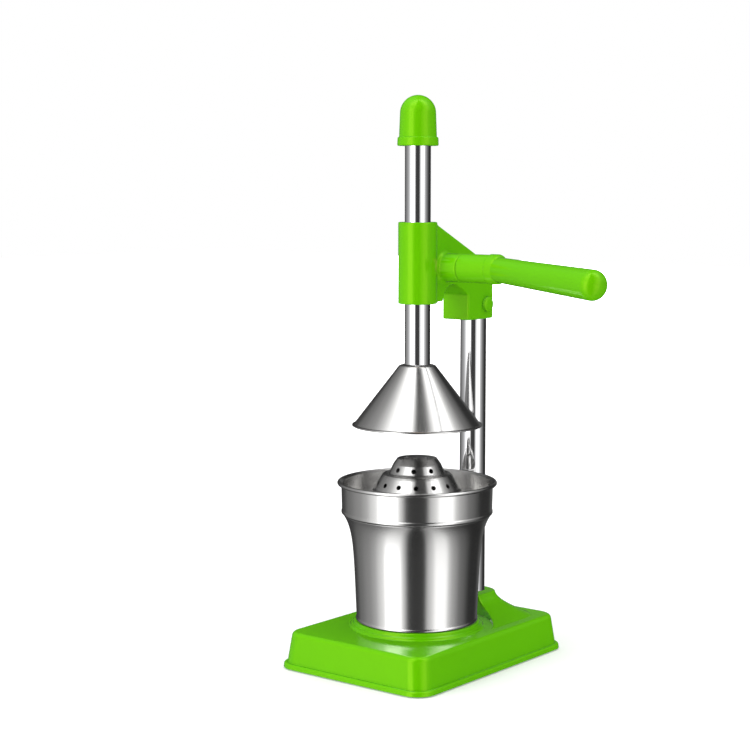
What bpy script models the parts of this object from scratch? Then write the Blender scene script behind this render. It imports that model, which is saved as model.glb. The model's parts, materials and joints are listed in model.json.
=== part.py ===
"""Hand-lever citrus press: a rack-and-pinion ram over a juice cup, on a cast base.

The origin is the centre of the cup seat, where the ram's axis meets the top of the base.
+Z is up, -Y is the front, +Y is the post side and +X is the lever side. Sizes are in
millimetres here and are turned into metres where each shape is made.
"""

import math

import bmesh
import bpy
from mathutils import Matrix, Vector

MM = 0.001

# ---- Fits -------------------------------------------------------------------------------
GAP = 0.3            # between faces that rest on each other
RUN = 0.2            # radial, round a turning or sliding shaft
SLIP = 0.15          # each side, round a part that is fixed in its seat

# ---- Facets round turned pieces ---------------------------------------------------------
WIDE_FACETS = 40
STRAINER_FACETS = 32
BODY_FACETS = 28
SMALL_FACETS = 16
TINY_FACETS = 12
DRILL_FACETS = 6

# ---- Base casting -----------------------------------------------------------------------
BASE_HALF_WIDTH = 72.5   # skirt at its foot, without the lip
BASE_FRONT = -89.0
BASE_BACK = 109.2
BASE_DEPTH = 34.0   # seat down to the lip's underside
BASE_DRAFT = 3.5            # how far the skirt leans in over its height
BASE_CORNER = 14.0
BASE_WALL = 4.0
LIP_OUT = 2.5
LIP_HEIGHT = 4.0
SEAT_STEP = 5.0             # seat above the plate
SEAT_RADIUS = 51.8
SEAT_FOOT_RADIUS = 54.2
SEAT_GROOVE_RADIUS = 26.0     # middle of the centring groove turned in the seat
SEAT_GROOVE_WIDTH = 1.6
SEAT_GROOVE_DEPTH = 0.6
HUMP_RISE = 11.0            # hump top above the seat
HUMP_TOP_HALF = 21.0
HUMP_FOOT_HALF = 61.0
HUMP_BACK_RUN = 8.5   # from the hump's top edge back to its foot
HUMP_SUNK = 0.4              # foot of the hump below the plate
HUMP_FRONT_RADIUS = 62.5   # hollow front, round the seat's axis
RIB_THICKNESS = 3.0
RIB_DEPTH = 11.0
FOOT_RADIUS = 8.5
FOOT_STANDS = 1.0           # how far a foot reaches below the lip
FOOT_INSET = 15.0
FOOT_BOSS_RECESS = 2.5      # boss end above the lip's underside
FOOT_STEM_RADIUS = 2.7
FOOT_STEM_LENGTH = 8.0

# ---- Post -------------------------------------------------------------------------------
POST_Y = 77.8
POST_RADIUS = 11.0
POST_WALL = 1.5
SOCKET_WALL = 4.6
SOCKET_FLOOR = 4.0
SOCKET_DEPTH = 31.0         # hump top down to the socket's floor
POST_BOLT_RADIUS = 4.0
POST_BOLT_HEAD = 7.0
POST_BOLT_HEAD_HEIGHT = 5.3
POST_PLUG_LENGTH = 15.0

# ---- Head casting -----------------------------------------------------------------------
SLEEVE_RADIUS = 15.8
SLEEVE_BOTTOM = 260.8
SLEEVE_LENGTH = 66.0
SLEEVE_EDGE = 0.8
HEAD_HALF_WIDTH = 13.5
HEAD_SLOPE = 0.477   # fall of the web's top edge per unit of Y
HEAD_TOP_DROP = -2.2   # sleeve top down to the web's top edge, on the ram's axis
CLAMP_FRONT_WALL = 14.4   # in front of the post
CLAMP_BACK_WALL = 4.9
CLAMP_DROP = 16.3   # sleeve bottom down to the clamp's bottom
CLAMP_ROOF = 3.5            # over the back of the post bore
NOTCH_RISE = 12.0
NOTCH_TILT = 3.5            # how much higher the notch ends at the clamp than at the sleeve
NOTCH_SKEW = 0.65
HEAD_ROUND = 1.2
CLAMP_SCREW_RISE = 12.2   # above the clamp's bottom
CLAMP_SCREW_HEAD = 6.3
CLAMP_SCREW_HEAD_HEIGHT = 3.2
CLAMP_SCREW_RADIUS = 3.0
BUSH_WALL = 1.6
BUSH_LENGTH = 13.0
BUSH_RECESS = 0.8

# ---- Rack, pinion and axle --------------------------------------------------------------
RAM_RADIUS = 10.5
MODULE = 1.25
PINION_TEETH = 18
PRESSURE_ANGLE = math.radians(20)
TOOTH_THINNING = 0.15       # off each tooth at the pitch line, for backlash
PITCH_RADIUS = MODULE * PINION_TEETH / 2
RACK_TIP = RAM_RADIUS - 0.8
PINION_HALF_WIDTH = 6.5
AXLE_RISE = 29.0   # above the sleeve's bottom
AXLE_RADIUS = 6.0
AXLE_BUSH_WALL = 1.6
BOSS_RADIUS = 11.5
BOSS_END = 31.0
BOSS_FILLET = 3.0
CAVITY_SIDE_GAP = 1.5
CAVITY_TIP_GAP = 0.8
PLUG_STANDS = 1.2           # bearing plug proud of the head's left face
PLUG_BUSH_LENGTH = 5.0
KEY_WIDTH = 3.0
KEY_LENGTH = 11.0
RING_WIDTH = 1.0
THRUST_WASHER = 1.2

# ---- Lever ------------------------------------------------------------------------------
HUB_RADIUS = 11.5
HUB_LENGTH = 36.5
HUB_COLLAR_RADIUS = 12.1
HUB_COLLAR_LENGTH = 10.5
HUB_NOSE_RADIUS = 8.5
AXLE_IN_HUB = 21.0
GRUB_RADIUS = 2.2
BEND_BACK = 7.0             # from the hub's end back to where the grip's line starts
LEVER_BEND = math.radians(22)   # grip turned from the axle's line towards the front
LEVER_DROP = math.radians(2.5)
GRIP_LENGTH = 131.0   # from the bend to the middle of the grip's round end
GRIP_START_RADIUS = 10.0
GRIP_END_RADIUS = 11.7
GRIP_END_FLATTEN = 0.84
ROD_RADIUS = 5.0

# ---- Ram, cap and cone ------------------------------------------------------------------
STROKE_DOWN = 61.0          # from rest until the cap meets the sleeve
STROKE_UP = 49.8   # from rest until the cone meets the sleeve
RACK_MARGIN = 10.5         # rack beyond the stroke, so that the pinion clears the plain ram
CAP_FLANGE_RADIUS = 16.7
CAP_FLANGE_HEIGHT = 6.8
CAP_BODY_RADIUS = 15.2
CAP_SHOULDER_RADIUS = 14.5
CAP_HEIGHT = 40.5
CAP_ROOF = 7.0
CONE_TOP_RADIUS = 15.0
CONE_RIM_RADIUS = 52.3
CONE_HEIGHT = 49.8
CONE_SHEET = 1.4
CONE_LIP = 1.0
CONE_SCREW_RADIUS = 3.0
CONE_SCREW_HEAD = 5.5
CONE_SCREW_HEAD_HEIGHT = 4.0
CONE_SCREW_IN_RAM = 16.0
CONE_WASHER_RADIUS = 10.0
CONE_WASHER_THICKNESS = 1.6

# ---- Cup and strainer -------------------------------------------------------------------
CUP_HEIGHT = 115.5
CUP_RIM_RADIUS = 65.5
CUP_BEAD = 1.6
CUP_BAND_TOP_RADIUS = 62.2
CUP_BAND_RADIUS = 61.6
CUP_BAND_HEIGHT = 26.7
CUP_NECK_RADIUS = 53.2
CUP_NECK_DROP = 50.0   # rim down to where the neck ends
CUP_BOTTOM_RADIUS = 50.2
CUP_SHEET = 1.1
CUP_FOOT_WIDTH = 7.0    # flat ring that stands on the seat
CUP_DISH = 1.9          # how far the bottom rises inside that ring
CUP_DISH_RUN = 5.0
STRAINER_SHEET = 1.1
STRAINER_TOP_RISE = 20.0    # above the cup's rim
STRAINER_CROWN = 1.6
STRAINER_TOP_RADIUS = 15.3
STRAINER_CHAMFER = 3.2
STRAINER_CHAMFER_DROP = 4.6
STRAINER_UPPER_RADIUS = 21.0
STRAINER_LEDGE_RISE = 6.0
STRAINER_LEDGE_RADIUS = 27.0
STRAINER_FOOT_RADIUS = 34.5
STRAINER_FOOT_DROP = 9.5
STRAINER_TROUGH_RADIUS = 42.5
STRAINER_TROUGH_DROP = 22.0
STRAINER_HOLE = 1.75

# ---- Places that follow from the sizes above --------------------------------------------
TABLE_Z = -BASE_DEPTH - FOOT_STANDS
PLATE_Z = -SEAT_STEP
LIP_Z = -BASE_DEPTH
HUMP_TOP_Z = HUMP_RISE
SOCKET_FLOOR_Z = HUMP_TOP_Z - SOCKET_DEPTH
SOCKET_BOTTOM_Z = SOCKET_FLOOR_Z - SOCKET_FLOOR
POST_BORE = POST_RADIUS + SLIP
SLEEVE_TOP = SLEEVE_BOTTOM + SLEEVE_LENGTH
CLAMP_BOTTOM = SLEEVE_BOTTOM - CLAMP_DROP
CLAMP_FRONT = POST_Y - POST_BORE - CLAMP_FRONT_WALL
CLAMP_BACK_RADIUS = POST_BORE + CLAMP_BACK_WALL
POST_BORE_TOP = SLEEVE_TOP - HEAD_TOP_DROP - HEAD_SLOPE * (POST_Y + POST_BORE) - CLAMP_ROOF
RACK_PITCH_Y = RACK_TIP - MODULE
AXLE_Y = RACK_PITCH_Y + PITCH_RADIUS
AXLE_Z = SLEEVE_BOTTOM + AXLE_RISE
AXLE_BUSH_OUTER = AXLE_RADIUS + AXLE_BUSH_WALL
CAVITY_HALF_WIDTH = PINION_HALF_WIDTH + CAVITY_SIDE_GAP
CAVITY_RADIUS = PITCH_RADIUS + MODULE + CAVITY_TIP_GAP
BUSH_OUTER = RAM_RADIUS + RUN + BUSH_WALL
CAP_BOTTOM = SLEEVE_TOP + STROKE_DOWN
CONE_TOP = SLEEVE_BOTTOM - STROKE_UP
CONE_RIM = CONE_TOP - CONE_HEIGHT
RAM_TOP = CAP_BOTTOM + CAP_HEIGHT - CAP_ROOF
RAM_BOTTOM = CONE_TOP + GAP
HUB_START = BOSS_END + THRUST_WASHER + 2 * GAP
HUB_END = HUB_START + HUB_LENGTH
BEND_X = HUB_END - BEND_BACK
CUP_BOTTOM = GAP
CUP_RIM = CUP_BOTTOM + CUP_HEIGHT

ALONG_X = Matrix.Rotation(math.pi / 2, 4, "Y")
# Turns a flat outline's X and Y into world Y and Z, thickened across X.
SIDE_VIEW = Matrix(((0, 0, 1, 0), (1, 0, 0, 0), (0, 1, 0, 0), (0, 0, 0, 1)))


# ---- Materials --------------------------------------------------------------------------
def material(name, colour, roughness, metallic):
    made = bpy.data.materials.new(name)
    made.use_nodes = True
    made.diffuse_color = (*colour, 1.0)
    shader = made.node_tree.nodes["Principled BSDF"]
    shader.inputs["Base Color"].default_value = (*colour, 1.0)
    shader.inputs["Roughness"].default_value = roughness
    shader.inputs["Metallic"].default_value = metallic
    return made


def make_materials():
    return {
        "green_paint": material("green_paint", (0.15, 0.53, 0.0), 0.25, 0.0),
        "green_grip": material("green_grip", (0.15, 0.53, 0.0), 0.3, 0.0),
        "chrome": material("chrome", (0.75, 0.75, 0.76), 0.08, 1.0),
        "brushed": material("brushed", (0.6, 0.6, 0.6), 0.3, 1.0),
        "steel": material("steel", (0.45, 0.45, 0.46), 0.35, 1.0),
        "bronze": material("bronze", (0.55, 0.36, 0.12), 0.35, 1.0),
        "rubber": material("rubber", (0.03, 0.03, 0.03), 0.8, 0.0),
    }


# ---- Modelling helpers ------------------------------------------------------------------
def metres(value):
    return value * MM


def at(x=0.0, y=0.0, z=0.0):
    return Matrix.Translation((metres(x), metres(y), metres(z)))


AXLE_PLACE = at(0, AXLE_Y, AXLE_Z) @ ALONG_X
CLAMP_SCREW_PLACE = at(0, POST_Y, CLAMP_BOTTOM + CLAMP_SCREW_RISE) @ ALONG_X


class Workshop:
    """Holds the two collections, the materials and the empties that carry moving pieces."""

    def __init__(self):
        self.press = bpy.data.collections.new("citrus_press")
        self.cutters = bpy.data.collections.new("cutters")
        for collection in (self.press, self.cutters):
            bpy.context.scene.collection.children.link(collection)
        self.materials = make_materials()

    def add(self, name, mesh, place=Matrix(), finish=None):
        """A new object: a sub-part when it has a finish, otherwise a tool for a Boolean."""
        obj = bpy.data.objects.new(name, mesh)
        obj.matrix_world = place
        if finish is None:
            self.cutters.objects.link(obj)
            obj.hide_render = True
            obj.display_type = "WIRE"
        else:
            self.press.objects.link(obj)
            mesh.materials.append(self.materials[finish])
        return obj

    def turned(self, name, profile, place=Matrix(), finish=None, steps=BODY_FACETS):
        """A closed (radius, height) outline, in millimetres, turned round the local Z axis."""
        area = sum(a[0] * b[1] - b[0] * a[1] for a, b in zip(profile, profile[1:] + profile[:1]))
        points = list(profile) if area < 0 else list(reversed(profile))
        # The edge that would lie along the axis is left out, so that the shape closes there.
        on_axis = [radius < 1e-9 for radius, _ in points]
        pairs = [(i, (i + 1) % len(points)) for i in range(len(points))]
        edges = [pair for pair in pairs if not (on_axis[pair[0]] and on_axis[pair[1]])]
        mesh = bpy.data.meshes.new(name)
        mesh.from_pydata([(metres(r), 0, metres(z)) for r, z in points], edges, [])
        obj = self.add(name, mesh, place, finish)
        screw = obj.modifiers.new("turn", "SCREW")
        screw.steps = screw.render_steps = steps
        screw.use_merge_vertices = True
        screw.merge_threshold = 0.00001
        screw.use_smooth_shade = True
        return obj

    def rod(self, name, radius, start, end, place=Matrix(), finish=None, steps=BODY_FACETS,
            edge=0.0):
        """A round bar along the local Z axis, with chamfered ends where edge is given."""
        profile = [(0, start), (radius - edge, start), (radius, start + edge)]
        profile += [(radius, end - edge), (radius - edge, end), (0, end)]
        return self.turned(name, without_repeats(profile), place, finish, steps)

    def ring(self, name, inner, outer, start, end, place=Matrix(), finish=None,
             steps=BODY_FACETS):
        profile = [(inner, start), (outer, start), (outer, end), (inner, end)]
        return self.turned(name, profile, place, finish, steps)

    def outline(self, name, points, start, end, place=Matrix(), finish=None):
        """A flat outline in the local XY plane, thickened from start to end along Z."""
        curve = bpy.data.curves.new(name, "CURVE")
        curve.dimensions = "2D"
        curve.fill_mode = "BOTH"
        curve.extrude = metres((end - start) / 2)
        spline = curve.splines.new("POLY")
        spline.points.add(len(points) - 1)
        for point, (x, y) in zip(spline.points, points):
            point.co = (metres(x), metres(y), 0, 1)
        spline.use_cyclic_u = True
        flat = bpy.data.objects.new(name + "_curve", curve)
        self.cutters.objects.link(flat)
        graph = bpy.context.evaluated_depsgraph_get()
        mesh = bpy.data.meshes.new_from_object(flat.evaluated_get(graph))
        bpy.data.objects.remove(flat)
        shape = bmesh.new()
        shape.from_mesh(mesh)
        bmesh.ops.remove_doubles(shape, verts=shape.verts, dist=metres(0.001))
        bmesh.ops.recalc_face_normals(shape, faces=shape.faces)
        bmesh.ops.translate(shape, verts=shape.verts, vec=(0, 0, metres((start + end) / 2)))
        shape.to_mesh(mesh)
        shape.free()
        mesh.name = name
        return self.add(name, mesh, place, finish)

    def box(self, name, low, high, place=Matrix(), finish=None):
        shape = bmesh.new()
        size = [high[i] - low[i] for i in range(3)]
        middle = [(high[i] + low[i]) / 2 for i in range(3)]
        bmesh.ops.create_cube(shape, size=1)
        bmesh.ops.scale(shape, verts=shape.verts, vec=[metres(s) for s in size])
        bmesh.ops.translate(shape, verts=shape.verts, vec=[metres(m) for m in middle])
        return self.add(name, mesh_of(shape, name), place, finish)

    def tapered_block(self, name, low, high, lean, corner, top_round=0.0, finish=None):
        """A block whose sides lean in by lean from bottom to top, with rounded corners."""
        shape = bmesh.new()
        bmesh.ops.create_cube(shape, size=1)
        for vert in shape.verts:
            is_top = vert.co.z > 0
            inset = lean if is_top else 0.0
            for axis in (0, 1):
                side = high[axis] - inset if vert.co[axis] > 0 else low[axis] + inset
                vert.co[axis] = metres(side)
            vert.co.z = metres(high[2] if is_top else low[2])
        upright = [e for e in shape.edges if abs(e.verts[0].co.z - e.verts[1].co.z) > metres(0.5)]
        bmesh.ops.bevel(shape, geom=upright, offset=metres(corner), segments=6, profile=0.5,
                        affect="EDGES")
        if top_round:
            top = metres(high[2]) - metres(0.01)
            rim = [e for e in shape.edges if all(v.co.z > top for v in e.verts)]
            bmesh.ops.bevel(shape, geom=rim, offset=metres(top_round), segments=3, profile=0.5,
                            affect="EDGES")
        return self.add(name, mesh_of(shape, name), Matrix(), finish)

    def drills(self, name, radius, depth, places):
        """One Boolean tool that holds a short round bar at each place."""
        shape = bmesh.new()
        for place in places:
            bmesh.ops.create_cone(shape, cap_ends=True, segments=DRILL_FACETS,
                                  radius1=metres(radius), radius2=metres(radius),
                                  depth=metres(depth), matrix=place)
        return self.add(name, mesh_of(shape, name))

    def boolean(self, obj, tool, operation, solver="EXACT"):
        step = obj.modifiers.new(operation.lower() + "_" + tool.name, "BOOLEAN")
        step.operation = operation
        step.object = tool
        step.solver = solver

    def cut(self, obj, *tools):
        for tool in tools:
            self.boolean(obj, tool, "DIFFERENCE")

    def join(self, obj, *tools):
        for tool in tools:
            self.boolean(obj, tool, "UNION")

    def carry(self, name, place, pieces):
        """An empty on a joint's axis, with the pieces that move about it as its children."""
        empty = bpy.data.objects.new(name, None)
        empty.matrix_world = place
        self.press.objects.link(empty)
        for piece in pieces:
            piece.parent = empty
            piece.matrix_parent_inverse = place.inverted()


def mesh_of(shape, name):
    bmesh.ops.recalc_face_normals(shape, faces=shape.faces)
    mesh = bpy.data.meshes.new(name)
    shape.to_mesh(mesh)
    shape.free()
    return mesh


def without_repeats(points):
    kept = [points[0]]
    for point in points[1:]:
        if (Vector(point) - Vector(kept[-1])).length > 1e-6:
            kept.append(point)
    return kept


def arc(centre, radius, start, end, steps):
    """Points on a circle, from one angle to another in degrees."""
    angles = [math.radians(start + (end - start) * i / steps) for i in range(steps + 1)]
    return [(centre[0] + radius * math.cos(a), centre[1] + radius * math.sin(a)) for a in angles]


# ---- Base -------------------------------------------------------------------------------
def hump_loft(workshop, bottom):
    """The mound that carries the post: rounded outlines at rising heights, bridged."""
    levels = 7
    steps = 8
    rise = HUMP_TOP_Z - PLATE_Z
    shape = bmesh.new()
    rings = []
    for level in range(levels + 1):
        share = level / levels
        flare = (1 - share) ** 2.2       # concave slope, flat at its foot
        half = HUMP_TOP_HALF + (HUMP_FOOT_HALF - HUMP_TOP_HALF) * flare
        back = POST_Y + POST_RADIUS + SOCKET_WALL + HUMP_BACK_RUN * flare
        turn_y = POST_Y - 2
        height = PLATE_Z - HUMP_SUNK + (rise + HUMP_SUNK) * share
        points = [(half, 0), (half, turn_y)]
        for i in range(1, steps):
            angle = math.pi * i / steps
            squared = 0.8
            x = math.copysign(abs(math.cos(angle)) ** squared, math.cos(angle)) * half
            y = turn_y + math.sin(angle) ** squared * (back - turn_y)
            points.append((x, y))
        points += [(-half, turn_y), (-half, 0)]
        for z in ([bottom, height] if level == 0 else [height]):
            rings.append([shape.verts.new((metres(x), metres(y), metres(z))) for x, y in points])
    for lower, upper in zip(rings, rings[1:]):
        for i, vert in enumerate(lower):
            after = (i + 1) % len(lower)
            shape.faces.new((vert, lower[after], upper[after], upper[i]))
    shape.faces.new(reversed(rings[0]))
    shape.faces.new(rings[-1])
    return workshop.add("hump_tool", mesh_of(shape, "hump_tool"))


def foot_places():
    x = BASE_HALF_WIDTH - FOOT_INSET
    return {
        "foot_front_left": (-x, BASE_FRONT + FOOT_INSET),
        "foot_front_right": (x, BASE_FRONT + FOOT_INSET),
        "foot_rear_left": (-x, BASE_BACK - FOOT_INSET),
        "foot_rear_right": (x, BASE_BACK - FOOT_INSET),
    }


def make_base(workshop):
    ceiling = PLATE_Z - BASE_WALL
    base = workshop.tapered_block(
        "base_shell", (-BASE_HALF_WIDTH, BASE_FRONT, LIP_Z), (BASE_HALF_WIDTH, BASE_BACK, PLATE_Z),
        BASE_DRAFT, BASE_CORNER, top_round=3.0, finish="green_paint")
    lip = workshop.tapered_block(
        "lip_tool", (-BASE_HALF_WIDTH - LIP_OUT, BASE_FRONT - LIP_OUT, LIP_Z),
        (BASE_HALF_WIDTH + LIP_OUT, BASE_BACK + LIP_OUT, LIP_Z + LIP_HEIGHT),
        0.0, BASE_CORNER + LIP_OUT, top_round=1.2)
    seat_profile = [(0, ceiling), (SEAT_FOOT_RADIUS, ceiling), (SEAT_FOOT_RADIUS, PLATE_Z + 0.3),
                    (SEAT_RADIUS + 1.2, PLATE_Z + 1.6), (SEAT_RADIUS, -0.9),
                    (SEAT_RADIUS - 0.9, 0), (SEAT_GROOVE_RADIUS + SEAT_GROOVE_WIDTH / 2, 0),
                    (SEAT_GROOVE_RADIUS, -SEAT_GROOVE_DEPTH),
                    (SEAT_GROOVE_RADIUS - SEAT_GROOVE_WIDTH / 2, 0), (0, 0)]
    seat = workshop.turned("seat_tool", seat_profile, steps=WIDE_FACETS)
    hump = hump_loft(workshop, ceiling)
    hollow_front = workshop.rod("hump_front_tool", HUMP_FRONT_RADIUS, PLATE_Z, HUMP_TOP_Z + 9,
                                steps=WIDE_FACETS)
    workshop.cut(hump, hollow_front)
    workshop.join(base, lip, hump, seat)

    wall = BASE_WALL
    cavity = workshop.tapered_block(
        "cavity_tool", (-BASE_HALF_WIDTH + wall, BASE_FRONT + wall, LIP_Z - 1),
        (BASE_HALF_WIDTH - wall, BASE_BACK - wall, ceiling), BASE_DRAFT, BASE_CORNER - wall)
    workshop.cut(base, cavity)

    socket_radius = POST_BORE + SOCKET_WALL
    post_place = at(0, POST_Y)
    socket = workshop.rod("socket_tool", socket_radius, SOCKET_BOTTOM_Z, PLATE_Z - 0.5, post_place)
    workshop.join(base, socket)
    rib_top = ceiling + 1
    rib_bottom = ceiling - RIB_DEPTH
    reach_x = BASE_HALF_WIDTH - wall + 0.5 - BASE_DRAFT / 2
    for index, y in enumerate((BASE_FRONT / 2, 0.0, POST_Y / 2)):
        rib = workshop.box(f"cross_rib_tool_{index}", (-reach_x, y - RIB_THICKNESS / 2, rib_bottom),
                           (reach_x, y + RIB_THICKNESS / 2, rib_top))
        workshop.join(base, rib)
    long_rib = workshop.box("long_rib_tool", (-RIB_THICKNESS / 2, BASE_FRONT + wall, rib_bottom + 1),
                            (RIB_THICKNESS / 2, POST_Y - POST_BORE - 1, rib_top))
    workshop.join(base, long_rib)
    for name, (x, y) in foot_places().items():
        boss = workshop.rod(name + "_boss_tool", FOOT_STEM_RADIUS + 4.0, LIP_Z + FOOT_BOSS_RECESS,
                            ceiling + 1, at(x, y), steps=TINY_FACETS)
        hole_end = LIP_Z + FOOT_BOSS_RECESS + FOOT_STEM_LENGTH + 1
        hole = workshop.rod(name + "_hole_tool", FOOT_STEM_RADIUS + SLIP, LIP_Z, hole_end,
                            at(x, y), steps=TINY_FACETS)
        workshop.join(base, boss)
        workshop.cut(base, hole)

    bolt_room = POST_BOLT_RADIUS + GAP
    bore = workshop.turned("post_bore_tool", [
        (0, SOCKET_BOTTOM_Z - 5), (bolt_room, SOCKET_BOTTOM_Z - 5), (bolt_room, SOCKET_FLOOR_Z),
        (POST_BORE, SOCKET_FLOOR_Z), (POST_BORE, HUMP_TOP_Z + 5), (0, HUMP_TOP_Z + 5)], post_place)
    workshop.cut(base, bore)
    return base


def make_feet(workshop):
    top = LIP_Z + FOOT_BOSS_RECESS - GAP
    profile = [(0, TABLE_Z), (FOOT_RADIUS - 0.8, TABLE_Z), (FOOT_RADIUS, TABLE_Z + 0.8),
               (FOOT_RADIUS - 1.0, top), (FOOT_STEM_RADIUS, top),
               (FOOT_STEM_RADIUS, top + FOOT_STEM_LENGTH), (0, top + FOOT_STEM_LENGTH)]
    for name, (x, y) in foot_places().items():
        workshop.turned(name, profile, at(x, y), "rubber", steps=TINY_FACETS)


# ---- Post -------------------------------------------------------------------------------
def make_post(workshop):
    place = at(0, POST_Y)
    bottom = SOCKET_FLOOR_Z + GAP
    top = POST_BORE_TOP - GAP
    inner = POST_RADIUS - POST_WALL
    post = workshop.ring("post_tube", inner, POST_RADIUS, bottom, top, place, "chrome")
    post_hole = workshop.rod("post_screw_hole_tool", CLAMP_SCREW_RADIUS + SLIP, 4.0, POST_RADIUS + 4,
                             CLAMP_SCREW_PLACE, steps=SMALL_FACETS)
    workshop.cut(post, post_hole)

    plug_radius = inner - SLIP
    bolt_reach = bottom + POST_PLUG_LENGTH - 4.0
    plug_profile = [(POST_BOLT_RADIUS + SLIP, bottom), (plug_radius, bottom),
                    (plug_radius, bottom + POST_PLUG_LENGTH), (0, bottom + POST_PLUG_LENGTH),
                    (0, bolt_reach + 1.0), (POST_BOLT_RADIUS + SLIP, bolt_reach + 1.0)]
    workshop.turned("post_plug", plug_profile, place, "steel")

    washer_top = SOCKET_BOTTOM_Z - GAP / 2
    workshop.ring("post_washer", POST_BOLT_RADIUS + GAP, POST_BOLT_HEAD + 2.0, washer_top - 1.6,
                  washer_top, place, "steel")
    head_top = washer_top - 1.6 - GAP / 2
    bolt = workshop.rod("post_bolt", POST_BOLT_RADIUS, head_top - 1, bolt_reach, place, "steel",
                        SMALL_FACETS)
    head = workshop.rod("post_bolt_head_tool", POST_BOLT_HEAD, head_top - POST_BOLT_HEAD_HEIGHT,
                        head_top, place, steps=6)
    workshop.join(bolt, head)


# ---- Head -------------------------------------------------------------------------------
def web_top(y):
    return SLEEVE_TOP - HEAD_TOP_DROP - HEAD_SLOPE * y


def web_outline():
    """Side view of the web and clamp, as (Y, Z): sloping top, arched notch behind the sleeve."""
    back = POST_Y + CLAMP_BACK_RADIUS
    points = [(6.0, SLEEVE_BOTTOM + 1.5), (6.0, web_top(6.0)), (back, web_top(back)),
              (back, CLAMP_BOTTOM), (CLAMP_FRONT, CLAMP_BOTTOM)]
    start = SLEEVE_RADIUS - 1.0
    steps = 12
    for i in range(steps, -1, -1):
        share = i / steps
        y = start + (CLAMP_FRONT - start) * share
        arch = NOTCH_TILT * share + NOTCH_RISE * math.sin(math.pi * share ** NOTCH_SKEW)
        points.append((y, SLEEVE_BOTTOM + 1.5 + arch))
    return points


def back_outline():
    """Plan that rounds the head behind the post, as (X, Y), wider than the head elsewhere."""
    start = math.degrees(math.acos((HEAD_HALF_WIDTH + 0.7) / CLAMP_BACK_RADIUS))
    back = arc((0, POST_Y), CLAMP_BACK_RADIUS, start, 180 - start, 14)
    wide = 2 * HEAD_HALF_WIDTH
    return back + [(-wide, POST_Y), (-wide, -wide), (wide, -wide), (wide, POST_Y)]


def make_head(workshop):
    head = workshop.outline("head_casting", web_outline(), -HEAD_HALF_WIDTH, HEAD_HALF_WIDTH,
                            SIDE_VIEW, "green_paint")
    rounding = head.modifiers.new("rounded_edges", "BEVEL")
    rounding.width = metres(HEAD_ROUND)
    rounding.segments = 2
    rounding.limit_method = "ANGLE"
    rounding.angle_limit = math.radians(35)
    round_back = workshop.outline("round_back_tool", back_outline(), CLAMP_BOTTOM - 5,
                                  SLEEVE_TOP + 5)
    workshop.boolean(head, round_back, "INTERSECT", "MANIFOLD")
    sleeve = workshop.rod("sleeve_tool", SLEEVE_RADIUS, SLEEVE_BOTTOM, SLEEVE_TOP,
                          steps=WIDE_FACETS, edge=SLEEVE_EDGE)
    face = HEAD_HALF_WIDTH
    boss_profile = [(0, 4.0), (BOSS_RADIUS + BOSS_FILLET, 4.0), (BOSS_RADIUS + BOSS_FILLET, face)]
    boss_profile += [(BOSS_RADIUS + BOSS_FILLET - BOSS_FILLET * math.sin(a),
                      face + BOSS_FILLET - BOSS_FILLET * math.cos(a))
                     for a in (math.radians(30), math.radians(60), math.radians(90))]
    boss_profile += [(BOSS_RADIUS, BOSS_END - 0.5), (BOSS_RADIUS - 0.5, BOSS_END), (0, BOSS_END)]
    boss = workshop.turned("boss_tool", boss_profile, AXLE_PLACE, steps=BODY_FACETS)
    workshop.join(head, sleeve, boss)

    seat = BUSH_LENGTH + BUSH_RECESS
    wide, narrow = BUSH_OUTER + SLIP, RAM_RADIUS + 0.9
    ram_bore = workshop.turned("ram_bore_tool", [
        (0, SLEEVE_BOTTOM - 3), (wide, SLEEVE_BOTTOM - 3), (wide, SLEEVE_BOTTOM + seat),
        (narrow, SLEEVE_BOTTOM + seat), (narrow, SLEEVE_TOP - seat), (wide, SLEEVE_TOP - seat),
        (wide, SLEEVE_TOP + 3), (0, SLEEVE_TOP + 3)], steps=WIDE_FACETS)
    bush_room = AXLE_BUSH_OUTER + SLIP
    gear_room = workshop.turned("gear_room_tool", [
        (0, -face - 5), (CAVITY_RADIUS, -face - 5), (CAVITY_RADIUS, CAVITY_HALF_WIDTH),
        (bush_room, CAVITY_HALF_WIDTH), (bush_room, BOSS_END + 2), (0, BOSS_END + 2)],
        AXLE_PLACE, steps=BODY_FACETS)
    post_bore = workshop.rod("head_post_bore_tool", POST_BORE, CLAMP_BOTTOM - 2, POST_BORE_TOP,
                             at(0, POST_Y), steps=WIDE_FACETS)
    screw_hole = workshop.rod("clamp_screw_hole_tool", CLAMP_SCREW_RADIUS + SLIP, 6.0,
                              HEAD_HALF_WIDTH + 4, CLAMP_SCREW_PLACE, steps=SMALL_FACETS)
    workshop.cut(head, post_bore, screw_hole, ram_bore, gear_room)
    return head


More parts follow.
